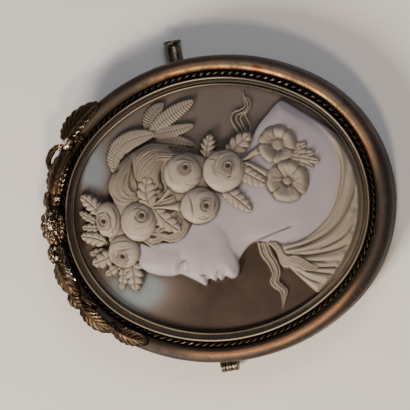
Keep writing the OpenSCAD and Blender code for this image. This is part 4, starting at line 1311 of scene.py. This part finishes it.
# the edge is flat where the lip lies over it, and the carving fades in past the lip
top_z = RIM_Z + GROUND_RISE * unit(rounding - FLAT_BORDER) / (1 - FLAT_BORDER)
top_z = top_z + sample(relief, shell_x, shell_y) * rise(rounding, 0.068, 0.105)
top = np.stack([shell_x, shell_y, top_z], -1).reshape(-1, 3)
quads, border = grid_faces(np.arange(len(top)).reshape(ROWS + 1, COLUMNS + 1))
points = [top]
faces = [quads]
ring = border
for share in (1.0, 0.97, 0.8, 0.6, 0.4, 0.2):
    low = top[border] * (share, share, 0)
    low[:, 2] = RIM_LOW_Z + HOLLOW_RISE * (1 - share * share)
    made = np.arange(len(border)) + sum(len(p) for p in points)
    faces.append(np.stack([np.roll(ring, -1), ring, made, np.roll(made, -1)], -1))
    points.append(low)
    ring = made
shell_points = np.concatenate(points)
shell_faces = np.concatenate(faces).tolist() + [ring[::-1].tolist()]
cameo = make_piece("cameo_carved", shell_points, shell_faces, shell)
thin = cameo.modifiers.new("thin", "DECIMATE")
thin.ratio = KEPT_SHARE
thinned = bpy.data.meshes.new_from_object(cameo.evaluated_get(bpy.context.evaluated_depsgraph_get()))
cameo.modifiers.clear()
cameo.data = thinned
face_outwards(cameo)
cameo.data.shade_smooth()
spots = places(cameo)
on_top = spots[:, 2] > RIM_Z - 0.3
for name, field in (("layer", layer_left), ("cream", cream), ("grime_and_shade", dirt_and_shade), ("painted_sheen", sheen_share),
                    ("strand", strand), ("hairy", hairy)):
    store(cameo, name, sample(field, spots[:, 0], spots[:, 1]) * on_top)
hand_over(cameo, "carved_shell", "cameo")

# %% [markdown]
# ## The hollow frame
#
# The real frame is pressed from sheet brass: a collar with two fine ridges, a channel, and a
# half-round moulding that is open behind. Its section is drawn once and swept round the oval, with
# more steps than the eye can see. A corner of sheet metal is never sharp, so small steps round the
# ridges and the lower edges. Each point keeps how far out it is, and how bright it is worn, with
# painted highlights. A photograph of the front shows no section, so it follows what such frames
# usually are.

# %% Section of the frame, from the foot of the inner wall round to where it began
def arc(centre, wide, high, start, end, count):
    """Points of an arc in the section, by angle from outwards."""
    turns = np.radians(np.linspace(start, end, count))
    return [(centre[0] + wide * math.cos(t), centre[1] + high * math.sin(t)) for t in turns]


INNER_SLOPE = TOP_U - COLLAR_W - ROPE_W
OUTER_SLOPE = OUTER_U - TOP_U
RIDGE_R = 0.18
FINE_RIDGE_R = 0.14
FOOT_R = 0.2
BEZEL_U = 0.76
BEZEL_T = 0.5
GROOVE_W = 1.0
LEDGE_IN = 0.6
LIP_Z = 5.7
LEDGE_Z = 3.58
band_z = RIDGE_Z - 0.95
wall_u = BEZEL_U + BEZEL_T
foot_u = wall_u + GROOVE_W
hollow_u = CREST_U - CREST_R + SHEET
section = (
    [(foot_u, BACK_Z + SHEET), (foot_u, BACK_Z + 0.08), (foot_u + 0.08, BACK_Z)]
    + arc((OUTER_U - FOOT_R, BACK_Z + FOOT_R), FOOT_R, FOOT_R, -90, 0, 4)
    + [(OUTER_U, 3.0), (OUTER_U, 4.0), (OUTER_U, 5.0)]
    + arc((TOP_U, CREST_Z), OUTER_SLOPE, CREST_R, 0, 86, 14)
    + arc((TOP_U, CREST_Z), INNER_SLOPE, CREST_R, 90, 170, 12)
    + [(CREST_U - CREST_R + 0.02, SEAT_Z), (1.9, SEAT_Z), (COLLAR_W + 0.04, SEAT_Z)]
    + [(COLLAR_W, SEAT_Z + 0.05), (COLLAR_W, 6.5), (COLLAR_W, RIDGE_Z - 0.16)]
    + arc((COLLAR_W - RIDGE_R, RIDGE_Z - RIDGE_R), RIDGE_R, RIDGE_R, 0, 180, 9)
    + [(0.86, band_z + 0.36), (0.62, band_z + 0.06), (0.46, band_z)]
    + [(0.33, band_z + 0.04)]
    + arc((0.16, RIDGE_Z - 0.84), FINE_RIDGE_R, FINE_RIDGE_R, 20, 180, 7)
    + [(0.0, 6.2), (0.0, LIP_Z + 0.04), (0.05, LIP_Z), (BEZEL_U, LIP_Z), (BEZEL_U, LEDGE_Z)]
    + [(0.04 - LEDGE_IN, LEDGE_Z), (-LEDGE_IN, LEDGE_Z - 0.04)]
    + [(-LEDGE_IN, LEDGE_Z - SHEET + 0.04), (0.04 - LEDGE_IN, LEDGE_Z - SHEET)]
    + [(BEZEL_U, LEDGE_Z - SHEET), (BEZEL_U, BACK_Z + 0.06), (BEZEL_U + 0.06, BACK_Z)]
    + [(wall_u - 0.06, BACK_Z), (wall_u, BACK_Z + 0.06)]
    + [(wall_u, SEAT_Z - SHEET), (hollow_u, SEAT_Z - SHEET), (hollow_u, CREST_Z)]
    + arc((CREST_U, CREST_Z), CREST_R - SHEET, CREST_R - SHEET, 180, 0, 9)
    + [(OUTER_U - SHEET, BACK_Z + SHEET)]
)
section = np.array(section)

# %% Sweep it round the oval
turns = np.linspace(0, 2 * math.pi, 300, endpoint=False)
ring_points = []
for out_by, z in section:
    x, y = oval(turns, out_by)
    ring_points.append(np.stack([x, y, np.full(len(x), z)], -1))
sweep_points = np.stack(ring_points, 1).reshape(-1, 3)
slots = np.arange(len(sweep_points)).reshape(len(turns), len(section))
moulding = make_piece("frame_moulding", sweep_points, ring_faces(slots).tolist(), gilt)
face_outwards(moulding)
sharpen(moulding, 40)

# %% How far out each point is, and where it is worn bright and where highlights are painted
spots = places(moulding)
out_here = np.tile(section[:, 0], len(turns))
height_here = spots[:, 2]
crest_share = bell(out_here - TOP_U, 0.4) * (height_here > CREST_Z + 0.8)
ridge_share = ((np.abs(out_here - (COLLAR_W - RIDGE_R)) < 0.11) * (height_here > RIDGE_Z - 0.1)
               + (np.abs(out_here - 0.16) < 0.10) * (height_here > RIDGE_Z - 0.8))
turn_here = np.degrees(np.repeat(turns, len(section)))


def between(directions, spans):
    """1 for directions in degrees that lie between two angles, with soft ends."""
    share = np.zeros_like(directions)
    for start, end in spans:
        off = (directions - (start + end) / 2 + 180) % 360 - 180
        share = np.maximum(share, bell(off, 0.6 * (end - start), 4))
    return share


# the ridges and the crest are a little worn all round; the ridges are painted bright in a few places
# only, and the crest most at the lower left, as painted highlights
outer_ridge = 0.2 + 0.6 * between(turn_here, [(-79, -39), (-9, 21), (161, 226)])
inner_ridge = 0.05 + 0.7 * between(turn_here, [(0, 41), (116, 166)])
ridge_share = ridge_share * np.where(out_here > 0.7, outer_ridge, inner_ridge)
crest_share = crest_share * (0.25 + 0.55 * between(turn_here, [(166, 228)]))
store(moulding, "out", out_here)
store(moulding, "wear_and_highlight", unit(crest_share + ridge_share))
hand_over(moulding, "gilt_metal", "frame")

# %% [markdown]
# ## The rope border
#
# Two gilt wires are twisted together and laid in the channel. A strand that follows a path and
# turns round it is a rule, so Geometry Nodes make it: the path is resampled, each point is moved
# off it by an angle that grows along the path, and a small round section is swept along the result.
# The whole rope turns 63 times, which puts its bright turns 1.2 mm apart.

# %% Inputs of the node group for one strand
ROPE_TURNS = 63
STRAND_R = 0.25
STRAND_OFF = 0.22
rope_tree = bpy.data.node_groups.new("twisted_strands", "GeometryNodeTree")
face_in = rope_tree.interface
face_in.new_socket("Geometry", in_out="INPUT", socket_type="NodeSocketGeometry")
for label, kind, value in (
    ("Points", "NodeSocketInt", ROPE_TURNS * 12),
    ("Turns", "NodeSocketFloat", float(ROPE_TURNS)),
    ("Wire radius", "NodeSocketFloat", STRAND_R * MM),
    ("Distance from middle", "NodeSocketFloat", STRAND_OFF * MM),
    ("Start", "NodeSocketFloat", 0.0),
    ("Metal", "NodeSocketMaterial", None)
):
    socket = face_in.new_socket(label, in_out="INPUT", socket_type=kind)
    if value is not None:
        socket.default_value = value
face_in.new_socket("Geometry", in_out="OUTPUT", socket_type="NodeSocketGeometry")

# %% Nodes that twist a path and sweep the wire along it
given = node(rope_tree, "NodeGroupInput").outputs
evened = node(rope_tree, "GeometryNodeResampleCurve", Curve=given["Geometry"],
              Count=given["Points"])
along = node(rope_tree, "GeometryNodeSplineParameter").outputs["Factor"]
tangent = node(rope_tree, "GeometryNodeInputTangent")
side_way = node(rope_tree, "VectorMath", {"operation": "CROSS_PRODUCT"}, i0=tangent, i1=(0, 0, 1))
turned = node(rope_tree, "Math", MULTIPLY, i0=along, i1=given["Turns"])
started = node(rope_tree, "Math", ADD, i0=turned, i1=given["Start"])
angle = node(rope_tree, "Math", MULTIPLY, i0=started, i1=2 * math.pi)
cosine = node(rope_tree, "Math", COSINE, i0=angle)
sine = node(rope_tree, "Math", SINE, i0=angle)
sideways = node(rope_tree, "VectorMath", {"operation": "SCALE"}, i0=side_way, Scale=cosine)
upwards = node(rope_tree, "CombineXYZ", Z=sine)
direction = node(rope_tree, "VectorMath", {"operation": "ADD"}, i0=sideways, i1=upwards)
offset = node(rope_tree, "VectorMath", {"operation": "SCALE"}, i0=direction,
              Scale=given["Distance from middle"])
moved = node(rope_tree, "GeometryNodeSetPosition", Geometry=evened, Offset=offset)
wire = node(rope_tree, "GeometryNodeCurvePrimitiveCircle", Resolution=8,
            Radius=given["Wire radius"])
swept = node(rope_tree, "GeometryNodeCurveToMesh", Curve=moved, Profile_Curve=wire)
real = node(rope_tree, "GeometryNodeRealizeInstances", Geometry=swept)
clad = node(rope_tree, "GeometryNodeSetMaterial", Geometry=real, Material=given["Metal"])
node(rope_tree, "NodeGroupOutput", Geometry=clad)

# %% Lay both strands in the channel
ROPE_Z = 6.28
# the channel's last point is its first one again, so it is left out of the closed path
path_x, path_y = np.array(channel)[:, :-1]
strands_made = []
for strand in (0, 1):
    path = bpy.data.curves.new("rope_path", "CURVE")
    path.dimensions = "3D"
    spline = path.splines.new("POLY")
    spline.points.add(len(path_x) - 1)
    for point, x, y in zip(spline.points, path_x, path_y):
        point.co = ((x + SHIFT_X) * MM, y * MM, ROPE_Z * MM, 1)
    spline.use_cyclic_u = True
    carrier = add_object("rope_path", path)
    twist = carrier.modifiers.new("twist", "NODES")
    twist.node_group = rope_tree
    strand_inputs = {"Start": strand * 0.5, "Metal": rope_metal}
    for item in rope_tree.interface.items_tree:
        if item.in_out == "INPUT" and item.name in strand_inputs:
            twist[item.identifier] = strand_inputs[item.name]
    graph = bpy.context.evaluated_depsgraph_get()
    strands_made.append(bpy.data.meshes.new_from_object(carrier.evaluated_get(graph)))
    bpy.data.objects.remove(carrier)

# %% Join the two strands, and say where they are bright
joined = bmesh.new()
for mesh in strands_made:
    joined.from_mesh(mesh)
rope_mesh = bpy.data.meshes.new("rope_twisted")
joined.to_mesh(rope_mesh)
joined.free()
rope_mesh.materials.append(rope_metal)
rope = add_object("rope_twisted", rope_mesh)
face_outwards(rope)
rope.data.shade_smooth()
spots = places(rope)
# the turns are bright on their tops, partly worn and partly a painted highlight; beside the garland
# the rope is painted dark as painted shade, and it is darker on the left and at the foot
direction = np.degrees(np.arctan2(spots[:, 1], spots[:, 0]))
garland_shade_and_dulling = np.maximum(0.75 * between(direction, [(38, 140)]),
                          0.4 * between(direction, [(170, 300)]))
store(rope, "high", unit((spots[:, 2] - ROPE_Z - 0.17) / 0.3) * (1 - garland_shade_and_dulling))
hand_over(rope, "rope_wire", "rope_border")

# %% [markdown]
# ## The cast garland
#
# The garland was cast in one piece from a wax model: a rosette in the middle, ribbed leaves, curls
# and seed heads to both sides. Each leaf here is a small pillow with a midrib and ribs, bent over
# the round of the moulding, so it hugs the metal as the casting does. A list gives where each leaf
# starts and ends. One piece holds all of them, as they were cast together.

# %% The surface that the garland lies on
CLEARANCE = 0.05
HUGS_TO = 0.93
ROPE_EDGE_U = 2.55


def seat_height(x, y):
    """The top of the frame and rope under a place, in mm, with a little clearance."""
    out_by = outside(x, y)
    slope = np.where(out_by > TOP_U, OUTER_SLOPE, INNER_SLOPE)
    across_crest = np.clip((out_by - TOP_U) / slope, -0.999, HUGS_TO)
    crown = CREST_Z + CREST_R * np.sqrt(1 - across_crest ** 2)
    past = np.clip(out_by - (TOP_U + HUGS_TO * OUTER_SLOPE), 0, 2)
    over_rope = RIDGE_Z + 0.06 - crown
    inner = 1 / (1 + np.exp((out_by - ROPE_EDGE_U) / 0.10))
    return crown - 0.5 * past + CLEARANCE + np.maximum(over_rope, 0) * inner


# %% Closed pillows that share one mesh
cast_points = []
cast_faces = []
cast_high = []
cast_count = 0


def add_pillow(x, y, top_z, low_z, high):
    """Adds a closed pillow from a grid of places with a top and an underside."""
    global cast_count
    rows_here, columns_here = x.shape
    upper = np.stack([x, y, top_z], -1).reshape(-1, 3)
    lower = np.stack([x, y, low_z], -1).reshape(-1, 3)
    grid = np.arange(rows_here * columns_here).reshape(rows_here, columns_here) + cast_count
    under = grid + rows_here * columns_here
    upper_faces, ring_up = grid_faces(grid)
    lower_faces, ring_low = grid_faces(under)
    sides = np.stack([ring_up, ring_low, np.roll(ring_low, -1), np.roll(ring_up, -1)], -1)
    cast_points.extend([upper, lower])
    # the faces of the underside look down, so they go round the other way
    cast_faces.extend([upper_faces, lower_faces[:, [0, 3, 2, 1]], sides])
    cast_high.extend([high.reshape(-1), high.reshape(-1) * 0])
    cast_count += 2 * rows_here * columns_here


# %% A leaf and a seed head of the garland
def cast_leaf(line, width, height, ribs, curl, notch, lift, highlight_side=1):
    """A lobed leaf along a line, bent over the moulding, with a vein into every lobe."""
    path = flow(line, 34)
    ahead_by = np.gradient(path, axis=0)
    ahead_by /= np.linalg.norm(ahead_by, axis=1, keepdims=True)
    s = np.linspace(0, 1, len(path))[:, None]
    t = np.linspace(-1, 1, 17)[None, :]
    outline = np.sqrt(unit(1 - (2 * (0.03 + 0.94 * s) ** 0.85 - 1) ** 2))
    wander = 0.10 * np.sin(7 * s + 5 * width) + 0.05 * np.sin(13 * s + line[0][0])
    lobes = np.abs(np.sin(np.pi * (ribs * (s + wander / ribs) + 0.5)))
    outline = outline * (1 - notch * (1 - lobes ** 0.8))
    x = path[:, :1] - ahead_by[:, 1:] * t * outline * width / 2
    y = path[:, 1:] + ahead_by[:, :1] * t * outline * width / 2
    reach = np.abs(t)
    veins = np.abs(np.sin(np.pi * (ribs * (s - 0.3 * reach + wander / ribs) + 0.5)))
    body = np.sqrt(1 - 0.9 * t ** 2) * np.sin(np.pi * (0.06 + 0.88 * s)) ** 0.5
    ribbing = (veins ** 0.7 - 0.6) * unit(reach * 3) * (1 + 0.3 * np.sin(9 * s + width))
    midrib = bell(t, 0.13) * (1 - 0.5 * s)
    edge_up = curl * reach ** 3 * np.sin(np.pi * s) * (1 + 0.5 * highlight_side * t)
    rise_by = height * (0.15 + 0.85 * body) + 0.22 * ribbing + 0.10 * midrib + edge_up + lift
    seat = seat_height(x, y)
    # the high ribs and edges are worn bright, and one side is painted lighter as a painted highlight
    level = 0.42 + 0.50 * ribbing + 0.25 * midrib + 0.5 * edge_up + 0.45 * unit(highlight_side * t) ** 2
    add_pillow(x, y, seat + np.maximum(rise_by, 0.08), seat, unit(level * body ** 0.4))


def cast_ball(x0, y0, radius, grooves, lift=0.0):
    """A seed head: a ball with grooves from its crown."""
    turn = np.linspace(0, 2 * np.pi, 37)[None, :]
    down_by = np.linspace(0.02, 1, 12)[:, None]
    x = x0 + radius * np.sin(down_by * np.pi / 2) * np.cos(turn)
    y = y0 + radius * np.sin(down_by * np.pi / 2) * np.sin(turn)
    ribbing = np.cos(grooves * turn) * np.sin(down_by * np.pi)
    top = radius * 1.25 * np.cos(down_by * np.pi / 2) + 0.07 * ribbing
    seat = seat_height(x, y)
    level = 0.30 + 0.60 * np.cos(down_by * np.pi / 2) + 0.22 * ribbing
    add_pillow(x, y, seat + lift + np.maximum(top, 0.04), seat, unit(level))


# %% Leaves of the garland, from the rosette outwards
# midrib, width, height, ribs, curl of the edge, and the side that carries a painted highlight
for line, width, height, ribs, curl, highlight_side in (
    # the right side: a scroll, the great leaf, its scroll, a bud with a tail, the end leaf
    ([(4.3, 28.3), (5.4, 28.7), (6.6, 28.4), (7.4, 27.6)], 1.3, 0.8, 3, 0.15, 1),
    ([(4.6, 27.1), (5.6, 26.9), (6.7, 27.0)], 1.2, 0.6, 2, 0.1, 1),
    ([(6.6, 27.0), (8.8, 26.5), (11.1, 25.3), (13.3, 23.2)], 3.7, 1.05, 7, 0.30, -1),
    ([(10.6, 27.4), (12.2, 27.5), (13.5, 26.8), (14.3, 25.8), (14.4, 24.9)], 1.1, 0.85, 4, 0.30, 1),
    ([(14.6, 22.8), (15.0, 21.8), (15.4, 20.4)], 1.1, 0.55, 3, 0.15, 1),
    ([(15.2, 24.2), (17.2, 22.6), (18.9, 20.4), (20.4, 17.4)], 3.6, 0.95, 7, 0.30, -1),
    # the left side: two scrolls, the great leaf, a knot with its tongue, a leaf, the end leaf
    ([(-1.9, 29.1), (-3.3, 29.4), (-4.9, 29.1)], 1.3, 0.8, 3, 0.2, 1),
    ([(-1.9, 27.7), (-3.4, 27.3), (-4.9, 27.5), (-5.2, 28.4)], 1.2, 0.7, 3, 0.2, 1),
    ([(-4.9, 28.2), (-6.8, 27.8), (-8.9, 26.9), (-10.8, 25.6)], 3.4, 1.05, 6, 0.30, 1),
    ([(-10.1, 27.0), (-11.5, 26.5), (-12.9, 25.4)], 2.5, 1.05, 4, 0.25, 1),
    ([(-10.6, 25.4), (-11.8, 24.3), (-13.2, 22.8)], 0.9, 0.75, 2, 0.2, 1),
    ([(-12.6, 25.4), (-14.2, 24.5), (-15.9, 23.1), (-17.4, 21.0)], 3.0, 0.95, 6, 0.30, 1),
    ([(-16.0, 20.4), (-17.0, 20.7), (-18.1, 20.9)], 1.1, 0.85, 3, 0.2, 1),
    ([(-17.1, 20.6), (-18.4, 19.1), (-19.3, 17.4), (-20.2, 15.0)], 2.9, 0.90, 6, 0.30, 1)
):
    cast_leaf(line, width, height, ribs, curl, 0.14, 0.0, highlight_side)

# %% Seed heads and berries
for x0, y0, radius in (
    (14.6, 23.4, 1.25), (14.2, 25.1, 0.6), (5.8, 26.6, 0.6), (7.5, 25.7, 0.36), (8.5, 25.3, 0.34),
    (9.5, 24.9, 0.34), (10.4, 24.3, 0.34), (11.2, 23.9, 0.34), (12.1, 23.4, 0.36), (-2.4, 28.3, 0.5),
    (-4.0, 28.3, 0.6), (-8.3, 26.1, 0.45), (-7.4, 26.4, 0.36), (-6.5, 26.7, 0.36), (-5.7, 27.0, 0.34),
    (-11.4, 26.0, 0.7), (-16.6, 21.0, 0.5), (-18.7, 16.9, 0.45)
):
    cast_ball(x0, y0, radius, 5)

# %% Rosette: two rings of petals round a ball
ROSETTE = (1.3, 28.15)
for petals, reach, width, lift, turn in ((10, 2.85, 1.75, 0.1, 0.2), (7, 1.7, 1.3, 0.6, 0.6)):
    for k in range(petals):
        way = turn + 2 * math.pi * k / petals
        foot = (ROSETTE[0] + 0.35 * reach * math.cos(way), ROSETTE[1] + 0.28 * reach * math.sin(way))
        far = (ROSETTE[0] + 1.12 * reach * math.cos(way), ROSETTE[1] + 0.84 * reach * math.sin(way))
        middle = ((foot[0] + far[0]) / 2, (foot[1] + far[1]) / 2)
        cast_leaf([foot, middle, far], width, 0.8, 1.0, 0.30, 0.05, lift)
cast_ball(ROSETTE[0], ROSETTE[1], 0.75, 7, 1.0)

# %% One closed piece, with where it is worn and where light and shade are painted
garland = make_piece("garland_cast", np.concatenate(cast_points),
                     np.concatenate(cast_faces).tolist(), garland_metal)
face_outwards(garland)
sharpen(garland, 60)
# painted light and shade: the rosette is painted lighter and the leaves on the left end darker
cast_x = places(garland)[:, 0]
painted_light_along = 0.12 * bell(cast_x, 6) - 0.2 * rise(-cast_x, 7, 12)
store(garland, "high", unit(np.concatenate(cast_high) + painted_light_along))
hand_over(garland, "cast_garland", "garland")

# %% [markdown]
# ## Pin, hinge, catch and chain loop
#
# These are turned and drawn pieces, so each is an outline turned round a line. The hinge has two
# ears on the frame and one knuckle on the pin, with a rivet through all three. The catch is a
# tube with a small knob that slides in it and covers the point of the pin. The whole pin line was
# soldered on a little askew, so it is drawn along X and turned by just over a degree at the end.
# The edges are rounded by a tenth of a millimetre, as a file and a polishing wheel leave them.

# %% Sizes of pin, hinge, catch and loop
PIN_Y = 3.7
PIN_TURN = math.radians(1.35)
PIN_Z = 1.3
PIN_R = 0.4
CATCH_Z = 1.5
FRAME_EDGE = math.sqrt((SIDE_R + OUTER_U) ** 2 - PIN_Y ** 2) - SIDE_X
KNUCKLE_X = -(FRAME_EDGE + 0.7)
KNUCKLE_R = 1.1
KNUCKLE_W = 1.0
EAR_W = 0.9
RIVET_R = 0.38
HINGE_W = KNUCKLE_W + 2 * (EAR_W + 0.06)
TUBE_R = 1.35
PLUNGER_R = 0.99
TUBE_START = FRAME_EDGE - 4.6
KNOB_X = FRAME_EDGE + 3.6
KNOB_R = 1.5
KNOB_T = 0.55
TUBE_END = KNOB_X - KNOB_T - 0.45
LOOP_AT = (0, 27.4, 1.2)

# %% Turn an outline round a line
def turned(outline, start, axis, segments=40, closed=True):
    """Points and faces of an outline of (along, radius) pairs turned round an axis."""
    along, radius = np.array(outline, float).T
    turn = np.linspace(0, 2 * np.pi, segments, endpoint=False)
    a = np.repeat(along[None, :], segments, 0)
    b = radius[None, :] * np.cos(turn)[:, None]
    c = radius[None, :] * np.sin(turn)[:, None]
    order = {"X": (a, b, c), "Y": (b, a, c)}[axis]
    points = np.stack(order, -1).reshape(-1, 3) + start
    slots = np.arange(segments * len(along)).reshape(segments, len(along))
    faces = ring_faces(slots)
    if closed:
        return points, faces.tolist()
    # an open outline has a disc at each end instead of faces between its end and its start
    sides = faces.reshape(segments, -1, 4)[:, :-1].reshape(-1, 4)
    return points, sides.tolist() + [slots[:, 0].tolist(), slots[:, -1].tolist()]


def on_pin_line(points):
    """Moves points that were drawn along X to the pin line."""
    x, y, z = points.T
    c, s = math.cos(PIN_TURN), math.sin(PIN_TURN)
    return np.stack([c * x - s * y, PIN_Y + s * x + c * y, z], -1)


def make_turned(name, parts, material, moved=on_pin_line):
    """One piece from several turned outlines."""
    points, faces = [], []
    for part_points, part_faces in parts:
        start = sum(len(p) for p in points)
        points.append(part_points)
        faces.extend([[i + start for i in face] for face in part_faces])
    piece = make_piece(name, moved(np.concatenate(points)), faces, material)
    face_outwards(piece)
    sharpen(piece, 35)
    return piece


# %% Outlines of rods and tubes
def rod(start, end, radius, soft=0.1):
    """The outline of a solid rod with rounded ends."""
    return [(start, radius - soft), (start + 0.3 * soft, radius - 0.3 * soft), (start + soft, radius),
            (end - soft, radius), (end - 0.3 * soft, radius - 0.3 * soft), (end, radius - soft)]


def sleeve(start, end, radius, inner, soft):
    """The outline of a tube with rounded ends."""
    return rod(start, end, radius, soft) + [(end, inner + 0.03), (end - 0.03, inner),
                                            (start + 0.03, inner), (start, inner + 0.03)]


# %% Catch, hinge and loop, which are soldered to the frame
hinge_at = (KNUCKLE_X, 0, PIN_Z)
bore_r = RIVET_R + 0.03
catch = make_turned("catch_tube", [turned(sleeve(TUBE_START, TUBE_END, TUBE_R, TUBE_R - 0.3, 0.2),
                                          (0, 0, CATCH_Z), "X")], pin_metal)
hand_over(catch, "gilt_metal", "frame")
ears = []
for side in (-1, 1):
    middle = side * (HINGE_W - EAR_W) / 2
    ears.append(turned(sleeve(middle - EAR_W / 2, middle + EAR_W / 2, KNUCKLE_R, bore_r, 0.15),
                       hinge_at, "Y"))
hinge = make_turned("hinge_ears", ears, pin_metal)
hand_over(hinge, "gilt_metal", "frame")
# the loop is 1 mm wide and 2.4 mm across, and its hole takes a ring of up to 1.2 mm wire
loop_outline = [(-0.5, 1.05), (-0.35, 1.2), (0.35, 1.2), (0.5, 1.05), (0.5, 0.8), (0.38, 0.7),
                (-0.38, 0.7), (-0.5, 0.8)]
loop = make_turned("chain_loop", [turned(loop_outline, LOOP_AT, "X", 48)], gilt,
                   lambda points: points)
hand_over(loop, "gilt_metal", "frame")

# %% Pin, rivet and knob
pin_stem = [(KNUCKLE_X + 0.9, 0.36), (KNUCKLE_X + 1.0, PIN_R), (TUBE_START - 4, PIN_R),
            (TUBE_START - 1, 0.3), (TUBE_START + 1, 0.17), (TUBE_START + 2, 0.04)]
pin = make_turned("pin_stem", [
    turned(pin_stem, (0, 0, PIN_Z), "X", 32, False),
    turned(sleeve(-KNUCKLE_W / 2, KNUCKLE_W / 2, KNUCKLE_R, bore_r, 0.15), hinge_at, "Y")
], pin_metal)
hand_over(pin, "pin_metal", "pin")
rivet = make_turned("hinge_rivet_turned", [
    turned(rod(-HINGE_W / 2, HINGE_W / 2, RIVET_R, 0.12), hinge_at, "Y", 32, False)
], pin_metal)
hand_over(rivet, "pin_metal", "hinge_rivet")
knob_outline = (rod(TUBE_START - 0.3, KNOB_X, PLUNGER_R)[:3] + [(KNOB_X - KNOB_T - 0.05, PLUNGER_R)]
                + rod(KNOB_X - KNOB_T, KNOB_X, KNOB_R, 0.18))
knob = make_turned("catch_knob", [turned(knob_outline, (0, 0, CATCH_Z), "X", 48, False)], pin_metal)
hand_over(knob, "pin_metal", "catch_plunger")
for piece in (catch, hinge, pin, rivet, knob):
    store(piece, "high", np.full(len(piece.data.vertices), 0.7))
for name, value in (("out", 4.0), ("wear_and_highlight", 0.1)):
    store(loop, name, np.full(len(loop.data.vertices), value))
